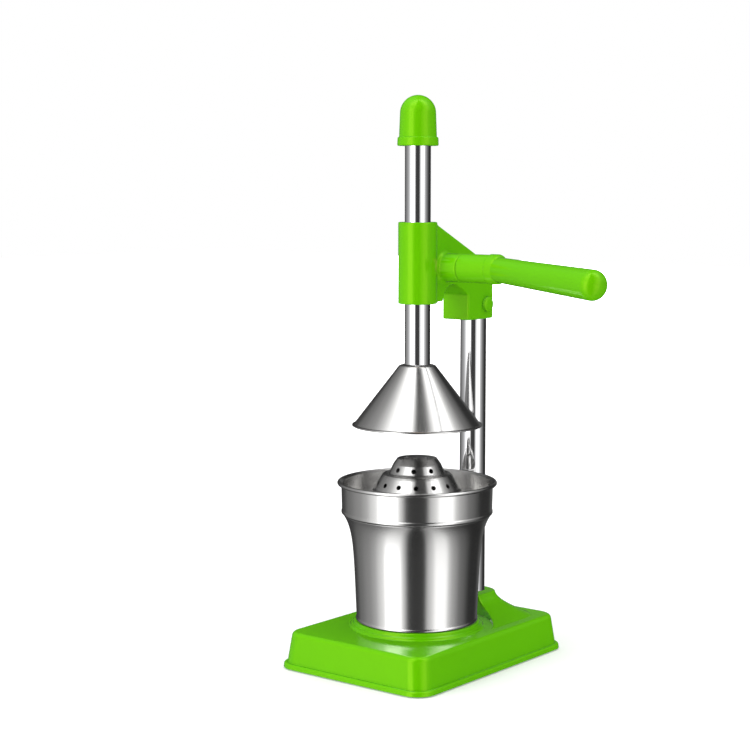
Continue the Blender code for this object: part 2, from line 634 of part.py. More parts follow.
def make_head_fittings(workshop):
    face = HEAD_HALF_WIDTH + GAP
    tip = POST_RADIUS - POST_WALL - 2.0
    top = face + CLAMP_SCREW_HEAD_HEIGHT
    profile = [(0, tip), (CLAMP_SCREW_RADIUS, tip), (CLAMP_SCREW_RADIUS, face),
               (CLAMP_SCREW_HEAD, face), (CLAMP_SCREW_HEAD, top - 1.2),
               (CLAMP_SCREW_HEAD - 0.5, top - 0.4), (CLAMP_SCREW_HEAD - 1.6, top), (0, top)]
    workshop.turned("clamp_screw", profile, CLAMP_SCREW_PLACE, "green_paint")

    inner = RAM_RADIUS + RUN
    low = SLEEVE_BOTTOM + BUSH_RECESS - GAP
    workshop.ring("guide_bush_lower", inner, BUSH_OUTER, low, low + BUSH_LENGTH, Matrix(), "bronze")
    high = SLEEVE_TOP - BUSH_RECESS + GAP
    workshop.ring("guide_bush_upper", inner, BUSH_OUTER, high - BUSH_LENGTH, high, Matrix(), "bronze")

    axle_inner = AXLE_RADIUS + RUN
    workshop.ring("axle_bush_right", axle_inner, AXLE_BUSH_OUTER, CAVITY_HALF_WIDTH + GAP,
                  BOSS_END - GAP, AXLE_PLACE, "bronze")
    spigot_end = -CAVITY_HALF_WIDTH - GAP
    bush_floor = spigot_end - PLUG_BUSH_LENGTH - GAP
    outside = -HEAD_HALF_WIDTH - PLUG_STANDS
    plug_radius = CAVITY_RADIUS - SLIP
    bush_seat = AXLE_BUSH_OUTER + SLIP
    plug_profile = [(0, outside), (plug_radius - 0.8, outside), (plug_radius, outside + 0.8),
                    (plug_radius, spigot_end), (bush_seat, spigot_end), (bush_seat, bush_floor),
                    (0, bush_floor)]
    plug = workshop.turned("bearing_plug", plug_profile, AXLE_PLACE, "green_paint")
    for side in (-1, 1):
        hole_place = at(0, AXLE_Y, AXLE_Z + side * plug_radius * 0.78) @ ALONG_X
        hole = workshop.rod(f"spanner_hole_tool_{side + 1}", 1.6, outside - 1, outside + 2.0,
                            hole_place, steps=TINY_FACETS)
        workshop.cut(plug, hole)
    workshop.ring("axle_bush_left", axle_inner, AXLE_BUSH_OUTER, bush_floor + GAP, spigot_end,
                  AXLE_PLACE, "bronze")


# ---- Rack and pinion --------------------------------------------------------------------
def tooth_half_angle(radius):
    """Half of a pinion tooth's angle at a radius, from the involute of its base circle."""
    base = PITCH_RADIUS * math.cos(PRESSURE_ANGLE)
    at_pitch = (math.pi * MODULE / 2 - TOOTH_THINNING) / (2 * PITCH_RADIUS)
    slope = math.acos(min(1.0, base / max(radius, base)))
    involute = math.tan(slope) - slope
    return at_pitch + math.tan(PRESSURE_ANGLE) - PRESSURE_ANGLE - involute


def pinion_outline():
    root = PITCH_RADIUS - 1.25 * MODULE
    tip = PITCH_RADIUS + MODULE
    base = PITCH_RADIUS * math.cos(PRESSURE_ANGLE)
    radii = [root, base] + [base + (tip - base) * share for share in (0.3, 0.65, 1.0)]
    points = []
    for tooth in range(PINION_TEETH):
        middle = 2 * math.pi * tooth / PINION_TEETH
        flank = [(r, tooth_half_angle(r)) for r in radii]
        sides = [(r, middle - half) for r, half in flank]
        sides += [(r, middle + half) for r, half in reversed(flank)]
        points += [(r * math.cos(a), r * math.sin(a)) for r, a in sides]
    return points


def rack_cutter_outline(low, high):
    """Everything beyond the rack's teeth, as (Y, Z): a gap is centred on the axle's height."""
    pitch = math.pi * MODULE
    root = RACK_PITCH_Y - 1.25 * MODULE
    outside = RAM_RADIUS + 3
    half_gap = (pitch / 2 + TOOTH_THINNING) / 2
    tip_half = half_gap + MODULE * math.tan(PRESSURE_ANGLE)
    root_half = half_gap - 1.25 * MODULE * math.tan(PRESSURE_ANGLE)
    first = math.ceil((low - AXLE_Z) / pitch)
    last = math.floor((high - AXLE_Z) / pitch)
    points = [(outside, AXLE_Z + (first - 0.5) * pitch), (RACK_TIP, AXLE_Z + (first - 0.5) * pitch)]
    for gap in range(first, last + 1):
        middle = AXLE_Z + gap * pitch
        points += [(RACK_TIP, middle - tip_half), (root, middle - root_half),
                   (root, middle + root_half), (RACK_TIP, middle + tip_half)]
    points += [(RACK_TIP, AXLE_Z + (last + 0.5) * pitch), (outside, AXLE_Z + (last + 0.5) * pitch)]
    return points


def make_drive(workshop):
    # The outline's X axis is turned so that one tooth points at the rack.
    facing_rack = AXLE_PLACE @ Matrix.Rotation(-math.pi / 2, 4, "Z")
    half = PINION_HALF_WIDTH
    pinion = workshop.outline("pinion_gear", pinion_outline(), -half, half, facing_rack, "steel")
    bore = workshop.rod("pinion_bore_tool", AXLE_RADIUS + SLIP, -half - 2, half + 2, AXLE_PLACE)
    key_top = AXLE_RADIUS + KEY_WIDTH / 2
    key_low = AXLE_RADIUS - KEY_WIDTH / 2
    key_half = KEY_LENGTH / 2
    slot = KEY_WIDTH / 2 + SLIP
    pinion_slot = workshop.box("pinion_slot_tool", (-key_top - SLIP, -slot, -half - 2),
                               (0, slot, half + 2), AXLE_PLACE)
    workshop.cut(pinion, bore, pinion_slot)

    left_end = -CAVITY_HALF_WIDTH - PLUG_BUSH_LENGTH - GAP
    right_end = HUB_START + AXLE_IN_HUB
    ring_start = -half - GAP - RING_WIDTH
    groove = AXLE_RADIUS - 0.9
    shaft_profile = [(0, left_end), (AXLE_RADIUS - 0.6, left_end), (AXLE_RADIUS, left_end + 0.6),
                     (AXLE_RADIUS, ring_start - SLIP), (groove, ring_start - SLIP),
                     (groove, ring_start + RING_WIDTH + SLIP),
                     (AXLE_RADIUS, ring_start + RING_WIDTH + SLIP),
                     (AXLE_RADIUS, right_end - 0.6), (AXLE_RADIUS - 0.6, right_end), (0, right_end)]
    shaft = workshop.turned("pinion_shaft", shaft_profile, AXLE_PLACE, "steel")
    shaft_slot = workshop.box("shaft_slot_tool", (-key_top - 1, -slot, -key_half - SLIP),
                              (-key_low + SLIP, slot, key_half + SLIP), AXLE_PLACE)
    workshop.cut(shaft, shaft_slot)
    key = workshop.box("pinion_key", (-key_top, -KEY_WIDTH / 2, -key_half),
                       (-key_low, KEY_WIDTH / 2, key_half), AXLE_PLACE, "steel")

    ring_inner = groove + SLIP
    ring = workshop.ring("retaining_ring", ring_inner, AXLE_RADIUS + 1.6, ring_start,
                         ring_start + RING_WIDTH, AXLE_PLACE, "steel")
    split = workshop.box("ring_split_tool", (2.0, -1.5, ring_start - 1),
                         (AXLE_RADIUS + 4, 1.5, ring_start + RING_WIDTH + 1), AXLE_PLACE)
    workshop.cut(ring, split)
    washer_start = BOSS_END + GAP
    workshop.ring("thrust_washer", AXLE_RADIUS + RUN, BOSS_RADIUS - 1.0, washer_start,
                  washer_start + THRUST_WASHER, AXLE_PLACE, "bronze", SMALL_FACETS)
    return [pinion, shaft, key, ring]


# ---- Lever ------------------------------------------------------------------------------
def make_lever(workshop):
    collar = HUB_END - HUB_COLLAR_LENGTH
    bore_end = HUB_START + AXLE_IN_HUB + GAP
    hub_profile = [(AXLE_RADIUS + SLIP, HUB_START), (HUB_RADIUS - 0.5, HUB_START),
                   (HUB_RADIUS, HUB_START + 0.5), (HUB_RADIUS, collar - 0.6),
                   (HUB_RADIUS - 0.35, collar - 0.3), (HUB_COLLAR_RADIUS - 0.3, collar + 0.3),
                   (HUB_COLLAR_RADIUS, collar + 1.0), (HUB_COLLAR_RADIUS, HUB_END - 4.0)]
    nose = HUB_COLLAR_RADIUS - HUB_NOSE_RADIUS
    hub_profile += [(HUB_NOSE_RADIUS + nose * math.cos(a), HUB_END - 4.0 + 4.0 * math.sin(a))
                    for a in (math.radians(25), math.radians(50), math.radians(75), math.radians(90))]
    hub_profile += [(0, HUB_END), (0, bore_end), (AXLE_RADIUS + SLIP, bore_end)]
    hub = workshop.turned("lever_hub", hub_profile, AXLE_PLACE, "green_paint")

    # The grip's own Z axis runs from the bend, turned to the front and a little down.
    turn = Matrix.Rotation(-LEVER_BEND, 4, "Z") @ Matrix.Rotation(LEVER_DROP, 4, "Y")
    grip_place = at(BEND_X, AXLE_Y, AXLE_Z) @ turn @ ALONG_X
    rod_start = -2.0
    rod_end = GRIP_LENGTH - 6.0
    socket = workshop.rod("rod_socket_tool", ROD_RADIUS + SLIP, rod_start - GAP, 30.0, grip_place)
    grub_place = at(HUB_START + AXLE_IN_HUB / 2, AXLE_Y, AXLE_Z) @ Matrix.Rotation(math.pi, 4, "X")
    grub_hole = workshop.rod("grub_hole_tool", GRUB_RADIUS + SLIP, AXLE_RADIUS - 2, HUB_RADIUS + 3,
                             grub_place, steps=SMALL_FACETS)
    workshop.cut(hub, socket, grub_hole)
    grub = workshop.rod("hub_grub_screw", GRUB_RADIUS, AXLE_RADIUS + GAP, HUB_RADIUS - 0.6,
                        grub_place, "steel", TINY_FACETS, edge=0.3)
    hexagon = workshop.rod("grub_socket_tool", 1.2, HUB_RADIUS - 2.6, HUB_RADIUS + 1, grub_place,
                           steps=6)
    workshop.cut(grub, hexagon)
    rod = workshop.rod("lever_rod", ROD_RADIUS, rod_start, rod_end, grip_place, "steel", edge=0.6)

    grip_start = 3.0
    bore = ROD_RADIUS + SLIP
    grip_profile = [(bore, grip_start), (GRIP_START_RADIUS, grip_start),
                    (GRIP_END_RADIUS, GRIP_LENGTH)]
    reach = GRIP_END_RADIUS * GRIP_END_FLATTEN
    grip_profile += [(GRIP_END_RADIUS * math.cos(a), GRIP_LENGTH + reach * math.sin(a))
                     for a in [math.radians(angle) for angle in (18, 36, 54, 72)]]
    grip_profile += [(0, GRIP_LENGTH + reach), (0, rod_end + GAP), (bore, rod_end + GAP)]
    grip = workshop.turned("lever_grip", grip_profile, grip_place, "green_grip")
    # The grip's start is shaped to the hub's nose, with a gap all round.
    nose_room = [(0, collar - 2), (HUB_COLLAR_RADIUS + GAP, collar - 2),
                 (HUB_COLLAR_RADIUS + GAP, HUB_END - 4.0)]
    nose_room += [(HUB_NOSE_RADIUS + (nose + GAP) * math.cos(a),
                   HUB_END - 4.0 + (4.0 + GAP) * math.sin(a))
                  for a in (math.radians(25), math.radians(50), math.radians(75), math.radians(90))]
    nose_room += [(0, HUB_END + GAP)]
    nose_tool = workshop.turned("hub_nose_tool", nose_room, AXLE_PLACE, steps=BODY_FACETS)
    workshop.cut(grip, nose_tool)
    return [hub, grub, rod, grip]


# ---- Ram --------------------------------------------------------------------------------
def make_ram(workshop):
    ram = workshop.rod("ram_shaft", RAM_RADIUS, RAM_BOTTOM, RAM_TOP, Matrix(), "chrome", edge=0.6)
    rack_low = AXLE_Z - STROKE_UP - RACK_MARGIN
    rack_high = AXLE_Z + STROKE_DOWN + RACK_MARGIN
    comb = workshop.outline("rack_tool", rack_cutter_outline(rack_low, rack_high), -RAM_RADIUS - 2,
                            RAM_RADIUS + 2, SIDE_VIEW)
    screw_hole = workshop.rod("ram_screw_hole_tool", CONE_SCREW_RADIUS + SLIP, RAM_BOTTOM - 2,
                              RAM_BOTTOM + CONE_SCREW_IN_RAM + 1, steps=SMALL_FACETS)
    workshop.cut(ram, comb, screw_hole)

    bore = RAM_RADIUS + SLIP
    top = CAP_BOTTOM + CAP_HEIGHT
    dome = CAP_SHOULDER_RADIUS
    cap_profile = [(bore, CAP_BOTTOM), (CAP_FLANGE_RADIUS - 0.5, CAP_BOTTOM),
                   (CAP_FLANGE_RADIUS, CAP_BOTTOM + 0.8),
                   (CAP_FLANGE_RADIUS - 0.2, CAP_BOTTOM + CAP_FLANGE_HEIGHT - 1.6),
                   (CAP_FLANGE_RADIUS - 0.9, CAP_BOTTOM + CAP_FLANGE_HEIGHT),
                   (CAP_BODY_RADIUS, CAP_BOTTOM + CAP_FLANGE_HEIGHT + 0.6), (dome, top - dome)]
    cap_profile += [(dome * math.cos(a), top - dome + dome * math.sin(a))
                    for a in [math.radians(angle) for angle in (18, 36, 54, 72)]]
    cap_profile += [(0, top), (0, RAM_TOP + GAP), (bore, RAM_TOP + GAP)]
    cap = workshop.turned("ram_cap", cap_profile, Matrix(), "green_paint")

    sheet = CONE_SHEET
    lean = math.atan2(CONE_RIM_RADIUS - CONE_TOP_RADIUS, CONE_HEIGHT)
    across = sheet / math.cos(lean)
    outer = [(CONE_TOP_RADIUS - 2.0, CONE_TOP), (CONE_TOP_RADIUS + 1.2, CONE_TOP - 1.6),
             (CONE_RIM_RADIUS - 0.4, CONE_RIM + 1.2), (CONE_RIM_RADIUS + CONE_LIP, CONE_RIM + 0.9),
             (CONE_RIM_RADIUS + CONE_LIP, CONE_RIM)]
    inner = [(CONE_RIM_RADIUS - across, CONE_RIM), (CONE_TOP_RADIUS + 1.2 - across, CONE_TOP - 1.6),
             (CONE_TOP_RADIUS - 2.4, CONE_TOP - sheet)]
    hole = CONE_SCREW_RADIUS + SLIP
    cone_profile = [(hole, CONE_TOP)] + outer + inner + [(hole, CONE_TOP - sheet)]
    cone = workshop.turned("press_cone", cone_profile, Matrix(), "brushed", steps=WIDE_FACETS)

    washer_top = CONE_TOP - sheet - GAP / 2
    washer_low = washer_top - CONE_WASHER_THICKNESS
    washer = workshop.ring("cone_washer", hole, CONE_WASHER_RADIUS, washer_low, washer_top, Matrix(),
                           "steel")
    head_top = washer_low - GAP / 2
    screw = workshop.rod("cone_screw", CONE_SCREW_RADIUS, head_top - 1,
                         RAM_BOTTOM + CONE_SCREW_IN_RAM, Matrix(), "steel", SMALL_FACETS)
    head = workshop.rod("cone_screw_head_tool", CONE_SCREW_HEAD, head_top - CONE_SCREW_HEAD_HEIGHT,
                        head_top, steps=6)
    workshop.join(screw, head)
    return [ram, cap, cone, washer, screw]


# ---- Cup and strainer -------------------------------------------------------------------
def smooth_step(share):
    return share * share * (3 - 2 * share)


def cup_outside():
    """Outside of the cup's wall from the rim down, as (radius, height)."""
    rim = CUP_RIM
    band_foot = rim - CUP_BAND_HEIGHT
    points = [(CUP_BAND_TOP_RADIUS, rim - 2 * CUP_BEAD), (CUP_BAND_RADIUS, band_foot),
              (CUP_BAND_RADIUS - 1.1, band_foot - 1.2)]
    neck_start = points[-1]
    neck_end = rim - CUP_NECK_DROP
    steps = 6
    for i in range(1, steps + 1):
        share = i / steps
        radius = neck_start[0] + (CUP_NECK_RADIUS - neck_start[0]) * smooth_step(share) ** 0.8
        points.append((radius, neck_start[1] + (neck_end - neck_start[1]) * share))
    points += [(CUP_BOTTOM_RADIUS, CUP_BOTTOM + 3.0), (CUP_BOTTOM_RADIUS - 0.8, CUP_BOTTOM + 0.8),
               (CUP_BOTTOM_RADIUS - 2.6, CUP_BOTTOM)]
    return points


def cup_inside_radius(height):
    """Inner radius of the cup's wall at a height."""
    points = cup_outside()
    for (r_high, z_high), (r_low, z_low) in zip(points, points[1:]):
        if z_low <= height <= z_high:
            share = (z_high - height) / (z_high - z_low)
            return r_high + (r_low - r_high) * share - CUP_SHEET
    return CUP_BOTTOM_RADIUS - CUP_SHEET


def make_cup(workshop):
    outside = cup_outside()
    bead = arc((CUP_RIM_RADIUS - CUP_BEAD, CUP_RIM - CUP_BEAD), CUP_BEAD, 150, -150, 6)
    inside = [(r - CUP_SHEET, z) for r, z in outside[:-2]]
    floor = CUP_BOTTOM + CUP_SHEET
    dish_foot = outside[-1][0] - CUP_FOOT_WIDTH
    dish = [(dish_foot - CUP_DISH_RUN, CUP_DISH), (dish_foot, 0)]
    inside += [(CUP_BOTTOM_RADIUS - CUP_SHEET - 1.2, floor + 0.6), (CUP_BOTTOM_RADIUS - 4.0, floor)]
    inside += [(radius, floor + rise) for radius, rise in reversed(dish)]
    inside[0] = (inside[0][0], CUP_RIM - CUP_BEAD)
    profile = [(0, CUP_BOTTOM + CUP_DISH)]
    profile += [(radius, CUP_BOTTOM + rise) for radius, rise in dish]
    profile += list(reversed(outside)) + list(reversed(bead)) + inside
    profile.append((0, floor + CUP_DISH))
    return workshop.turned("juice_cup", profile, Matrix(), "brushed", steps=WIDE_FACETS)


def strainer_outside():
    """Upper side of the strainer from its crown outwards, as (radius, height)."""
    rim = CUP_RIM
    top = rim + STRAINER_TOP_RISE
    ledge = rim + STRAINER_LEDGE_RISE
    chamfer_r = STRAINER_TOP_RADIUS + STRAINER_CHAMFER
    chamfer_z = top - STRAINER_CROWN - STRAINER_CHAMFER_DROP
    foot_z = rim - STRAINER_FOOT_DROP
    trough_z = rim - STRAINER_TROUGH_DROP
    return [(0, top), (STRAINER_TOP_RADIUS * 0.6, top - 0.4),
            (STRAINER_TOP_RADIUS, top - STRAINER_CROWN), (chamfer_r, chamfer_z),
            (STRAINER_UPPER_RADIUS, ledge + 1.5), (STRAINER_UPPER_RADIUS + 1.2, ledge + 0.5),
            (STRAINER_LEDGE_RADIUS - 1.0, ledge - 0.4), (STRAINER_LEDGE_RADIUS + 1.0, ledge - 1.6),
            (STRAINER_FOOT_RADIUS, foot_z), (STRAINER_FOOT_RADIUS + 1.5, foot_z - 3.0),
            (STRAINER_TROUGH_RADIUS - 2.0, trough_z + 1.0), (STRAINER_TROUGH_RADIUS, trough_z)]


def make_strainer(workshop):
    outside = strainer_outside()
    trough_r, trough_z = outside[-1]
    # The plate runs out until the cup's narrowing wall carries its edge.
    edge_z = trough_z - 2.0
    edge_r = cup_inside_radius(edge_z - STRAINER_SHEET) - 2 * GAP
    outside += [(edge_r - 3.0, trough_z), (edge_r, trough_z + 1.4)]
    sheet = STRAINER_SHEET
    inside = [(max(r - sheet * 0.75, 0.0), z - sheet) for r, z in outside]
    inside[0] = (0, outside[0][1] - sheet)
    inside[-3] = (trough_r - sheet * 0.5, trough_z - sheet)
    inside[-2] = (edge_r - 2.6, trough_z - sheet)
    inside[-1] = (edge_r, trough_z + 0.2)
    profile = outside + list(reversed(inside))
    strainer = workshop.turned("strainer", profile, Matrix(), "brushed", steps=STRAINER_FACETS)

    for row, (count, radius, height, lean) in enumerate(strainer_rows()):
        places = []
        for i in range(count):
            turn = Matrix.Rotation(2 * math.pi * (i + 0.5 * (row % 2)) / count, 4, "Z")
            places.append(turn @ at(radius, 0, height) @ Matrix.Rotation(lean, 4, "Y"))
        drills = workshop.drills(f"hole_row_{row}_tool", STRAINER_HOLE, 6.0, places)
        workshop.boolean(strainer, drills, "DIFFERENCE", "MANIFOLD")
    return strainer


def strainer_rows():
    """Rows of drain holes: how many, at what radius and height, and how far each leans out."""
    rim = CUP_RIM
    top = rim + STRAINER_TOP_RISE
    chamfer_z = top - STRAINER_CROWN - STRAINER_CHAMFER_DROP
    ledge = rim + STRAINER_LEDGE_RISE
    foot_z = rim - STRAINER_FOOT_DROP
    chamfer_r = STRAINER_TOP_RADIUS + STRAINER_CHAMFER
    side_r = (STRAINER_LEDGE_RADIUS + 1.0 + STRAINER_FOOT_RADIUS) / 2
    plate_r = (STRAINER_TROUGH_RADIUS + CUP_NECK_RADIUS) / 2
    tier_r = (chamfer_r + STRAINER_UPPER_RADIUS) / 2
    return [(6, STRAINER_TOP_RADIUS * 0.62, top - 0.8, 0.0),
            (9, tier_r, (chamfer_z + ledge) / 2 + 0.4, math.radians(78)),
            (13, side_r, (ledge - 1.6 + foot_z) / 2, math.radians(66)),
            (20, plate_r, rim - STRAINER_TROUGH_DROP - 0.5, 0.0)]


def clear_scene():
    for obj in list(bpy.data.objects):
        bpy.data.objects.remove(obj)


def main():
    clear_scene()
    workshop = Workshop()
    make_base(workshop)
    make_feet(workshop)
    make_post(workshop)
    make_head(workshop)
    make_head_fittings(workshop)
    lever_pieces = make_drive(workshop) + make_lever(workshop)
    ram_pieces = make_ram(workshop)
    cup = make_cup(workshop)
    strainer = make_strainer(workshop)
    workshop.carry("lever_axis", at(0, AXLE_Y, AXLE_Z), lever_pieces)
    workshop.carry("ram_axis", at(0, 0, CONE_TOP), ram_pieces)
    workshop.carry("cup_place", at(0, 0, CUP_BOTTOM), [cup, strainer])


main()
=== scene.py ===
"""Builds the looks of a hand-lever citrus press round its packed frame.

The frame gives every place: the cup seat's centre is the origin, +Z is up along the ram, -Y is
the front and +X is the lever side. All sizes are in metres.
"""

import json
import math

import bmesh
import bpy
from mathutils import Matrix, Vector


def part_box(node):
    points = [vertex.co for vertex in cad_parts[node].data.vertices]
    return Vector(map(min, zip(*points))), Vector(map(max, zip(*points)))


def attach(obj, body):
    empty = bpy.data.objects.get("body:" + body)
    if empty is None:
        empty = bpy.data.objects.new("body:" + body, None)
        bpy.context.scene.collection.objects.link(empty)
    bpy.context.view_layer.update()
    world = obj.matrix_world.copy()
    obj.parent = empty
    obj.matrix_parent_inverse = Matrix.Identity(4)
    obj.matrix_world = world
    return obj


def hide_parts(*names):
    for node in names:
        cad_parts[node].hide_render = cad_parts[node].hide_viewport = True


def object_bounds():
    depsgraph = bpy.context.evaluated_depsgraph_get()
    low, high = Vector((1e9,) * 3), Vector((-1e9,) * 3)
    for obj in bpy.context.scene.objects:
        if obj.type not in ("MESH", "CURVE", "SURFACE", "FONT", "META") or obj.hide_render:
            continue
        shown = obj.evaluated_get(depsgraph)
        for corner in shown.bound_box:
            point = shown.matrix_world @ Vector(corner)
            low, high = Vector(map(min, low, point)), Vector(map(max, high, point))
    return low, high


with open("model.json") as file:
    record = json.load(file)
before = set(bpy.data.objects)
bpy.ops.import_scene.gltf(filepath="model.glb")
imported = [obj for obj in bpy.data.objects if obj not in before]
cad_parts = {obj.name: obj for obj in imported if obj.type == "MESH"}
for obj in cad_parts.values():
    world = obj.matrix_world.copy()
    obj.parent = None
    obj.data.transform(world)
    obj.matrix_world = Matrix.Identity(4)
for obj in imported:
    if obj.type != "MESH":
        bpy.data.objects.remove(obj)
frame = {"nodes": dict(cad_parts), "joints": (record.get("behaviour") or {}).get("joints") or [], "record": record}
cad_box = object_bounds()

bl_info = {
    "name": "Citrus Press",
    "version": (1, 0, 0),
    "blender": (4, 5, 0),
    "location": "3D View > Sidebar > Citrus Press",
    "description": "Models and paints the pieces of a hand-lever citrus press",
    "category": "Object",
}

MM = 0.001
FULL_TURN = 2 * math.pi
X, Y, Z = range(3)
# Steps round a turned piece, from the widest ones down to a screw's hole.
WIDE_STEPS, ROUND_STEPS, BAR_STEPS, SMALL_STEPS, HOLE_STEPS = 160, 128, 96, 64, 32
SHARP = math.radians(32)    # edges steeper than this stay crisp in the shading
FIT = 0.15 * MM             # room round what sits in a bore
LAP = 1 * MM                # how far a rib or a cutter runs on past the face that it meets
SCREW_BORE = 3.15 * MM      # radius of the holes for the clamp screw and the cone's screw
ROD_BORE = 5.15 * MM        # radius of the holes for the lever's rod
FOOT_STEM = 2.7 * MM        # radius of the stems on the rubber feet
SEAM = 0.5 * MM             # between the head's boss and the lever's hub
WASHER_INSET = 1.8 * MM     # the washer between them lies back from their faces
BUSH_INSET = 0.5 * MM       # the guide bushes lie back from the sleeve's ends


# ---- Places that come from the frame ----------------------------------------------------
def lowest(node):
    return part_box(node)[0]


def highest(node):
    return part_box(node)[1]


def middle(node, axis):
    return (lowest(node)[axis] + highest(node)[axis]) / 2


def half_size(node, axis):
    return (highest(node)[axis] - lowest(node)[axis]) / 2


JOINTS = {joint["name"]: joint for joint in frame["joints"]}
AXLE = Vector(JOINTS["lever_turn"]["pos_m"])
TABLE_Z = cad_box[0].z
BASE_LOW, BASE_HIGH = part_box("base_shell")
SLEEVE_RADIUS = -lowest("head_casting").y
SLEEVE_TOP = highest("guide_bush_upper").z + BUSH_INSET
SLEEVE_BOTTOM = lowest("guide_bush_lower").z - BUSH_INSET
CLAMP_BOTTOM = lowest("head_casting").z
BOSS_END = highest("head_casting").x
HEAD_BACK = highest("head_casting").y
POST_Y = middle("post_tube", Y)
POST_RADIUS = highest("post_tube").x
RAM_RADIUS = highest("ram_shaft").x
HUB_START, HUB_END = lowest("lever_hub").x, highest("lever_hub").x
CUP_BOTTOM, CUP_RIM = lowest("juice_cup").z, highest("juice_cup").z
CONE_RIM, CONE_TOP = lowest("press_cone").z, highest("press_cone").z
CAP_BOTTOM, CAP_TOP = lowest("ram_cap").z, highest("ram_cap").z

UPRIGHT = Matrix.Identity(4)
ALONG_X = Matrix.Rotation(math.pi / 2, 4, "Y")
# Turns a flat outline's X and Y into world Y and Z, thickened across X.
SIDE_VIEW = Matrix(((0, 0, 1, 0), (1, 0, 0, 0), (0, 1, 0, 0), (0, 0, 0, 1)))


def at(x=0.0, y=0.0, z=0.0):
    return Matrix.Translation((x, y, z))


AXLE_PLACE = at(0, AXLE.y, AXLE.z) @ ALONG_X
CLAMP_SCREW_PLACE = at(0, POST_Y, middle("clamp_screw", Z)) @ ALONG_X


# ---- Sizes and colours a user would change ----------------------------------------------
def size(name, default, description):
    return bpy.props.FloatProperty(name=name, description=description, default=default,
                                   min=0.0, unit="LENGTH", precision=4)


def turn(name, default, description):
    return bpy.props.FloatProperty(name=name, description=description,
                                   default=math.radians(default), unit="ROTATION")


def colour(name, default, description):
    return bpy.props.FloatVectorProperty(name=name, description=description, default=default,
                                         size=3, min=0.0, max=1.0, subtype="COLOR")


def share(name, default, description):
    return bpy.props.FloatProperty(name=name, description=description, default=default,
                                   min=0.0, max=2.0)


class PressColours(bpy.types.PropertyGroup):
    """Colours of the press's finishes."""

    enamel: colour("Enamel", (0.148, 0.60, 0.001), "Green enamel on the castings")
    enamel_deep: colour("Enamel, deeper", (0.136, 0.57, 0.001), "Where the enamel lies thicker")
    grip: colour("Grip", (0.148, 0.60, 0.001), "Green moulded grip")
    chrome: colour("Chrome", (0.86, 0.86, 0.87), "Ram and post")
    sheet: colour("Stainless sheet", (0.74, 0.735, 0.725), "Cup, cone and strainer")
    steel: colour("Steel", (0.48, 0.48, 0.49), "Shafts, gear and fasteners")
    bronze: colour("Bronze", (0.55, 0.34, 0.13), "Bushes and thrust washer")
    rubber: colour("Rubber", (0.018, 0.018, 0.019), "Feet")


class BaseSizes(bpy.types.PropertyGroup):
    """Sizes of the base casting and its feet."""

    draft: size("Draft", 3.5 * MM, "How far the skirt leans in over its height")
    corner: size("Corner radius", 14 * MM, "Round the upright corners, seen from above")
    rim_round: size("Plate edge", 3.4 * MM, "Rounding between the plate and the skirt")
    wall: size("Wall", 4 * MM, "Thickness of the skirt and the plate")
    lip_out: size("Lip", 2.5 * MM, "How far the lip stands out at the skirt's foot")
    lip_height: size("Lip height", 4 * MM, "Height of the lip")
    seat_step: size("Seat step", 5 * MM, "Height of the cup seat above the plate")
    seat_radius: size("Seat radius", 51.8 * MM, "Top of the cup seat")
    groove: size("Centring groove", 26 * MM, "Radius of the groove turned in the cup seat")
    hump_rise: size("Hump rise", 11 * MM, "Top of the hump above the cup seat")
    hump_top: size("Hump top", 21 * MM, "Half the width of the hump's top")
    hump_foot: size("Hump foot", 61 * MM, "Half the width of the hump's foot")
    hump_front: size("Hump front", 62.5 * MM, "Radius of the hollow front, round the seat")
    hump_back: size("Hump back", 8.5 * MM, "Run of the slope behind the post")
    socket_wall: size("Socket wall", 4.6 * MM, "Round the post's socket")
    foot_inset: size("Foot inset", 15 * MM, "From the skirt in to the middle of a foot")
    foot_radius: size("Foot radius", 8.5 * MM, "Rubber feet")


class HeadSizes(bpy.types.PropertyGroup):
    """Sizes of the head casting."""

    half_width: size("Half width", 13.5 * MM, "Web and clamp, each side of the middle")
    edge: size("Edges", 1.0 * MM, "Rounding left on the casting's edges")
    boss_radius: size("Boss radius", 11.5 * MM, "Round boss that carries the axle")
    boss_fillet: size("Boss fillet", 3 * MM, "At the root of the boss")
    clamp_front: size("Clamp front", 25.55 * MM, "Clamp block in front of the post's axis")
    notch_rise: size("Notch rise", 12 * MM, "Height of the arch behind the sleeve")
    screw_head: size("Screw head", 6.3 * MM, "Radius of the clamp screw's head")


class LeverSizes(bpy.types.PropertyGroup):
    """Sizes of the lever's hub and grip."""

    hub_radius: size("Hub radius", 11.5 * MM, "Round part next to the boss")
    collar_radius: size("Collar radius", 12.1 * MM, "Collar at the hub's outer end")
    collar_length: size("Collar length", 10.5 * MM, "From the collar's step to the hub's end")
    bend: turn("Bend", 22, "The grip's turn towards the front")
    drop: turn("Drop", 2.5, "The grip's fall towards its end")
    grip_length: size("Grip length", 131 * MM, "From the bend to the middle of the round end")
    grip_start: size("Grip start", 10 * MM, "Radius next to the hub")
    grip_end: size("Grip end", 11.7 * MM, "Radius at the round end")


class RamSizes(bpy.types.PropertyGroup):
    """Sizes of the ram, its cap and the cone."""

    module: size("Rack module", 1.25 * MM, "Tooth size of the rack")
    flange: size("Cap flange", 16.7 * MM, "Radius of the cap's flange")
    flange_height: size("Flange height", 6.8 * MM, "Height of the cap's flange")
    cap_radius: size("Cap body", 15.2 * MM, "Radius of the cap above its flange")
    shoulder: size("Cap shoulder", 14.5 * MM, "Radius where the dome starts")
    cone_top: size("Cone top", 15 * MM, "Radius of the cone's flat top")
    cone_lip: size("Cone lip", 1 * MM, "How far the rim is turned out")
    cone_sheet: size("Cone sheet", 1.4 * MM, "Thickness of the cone")


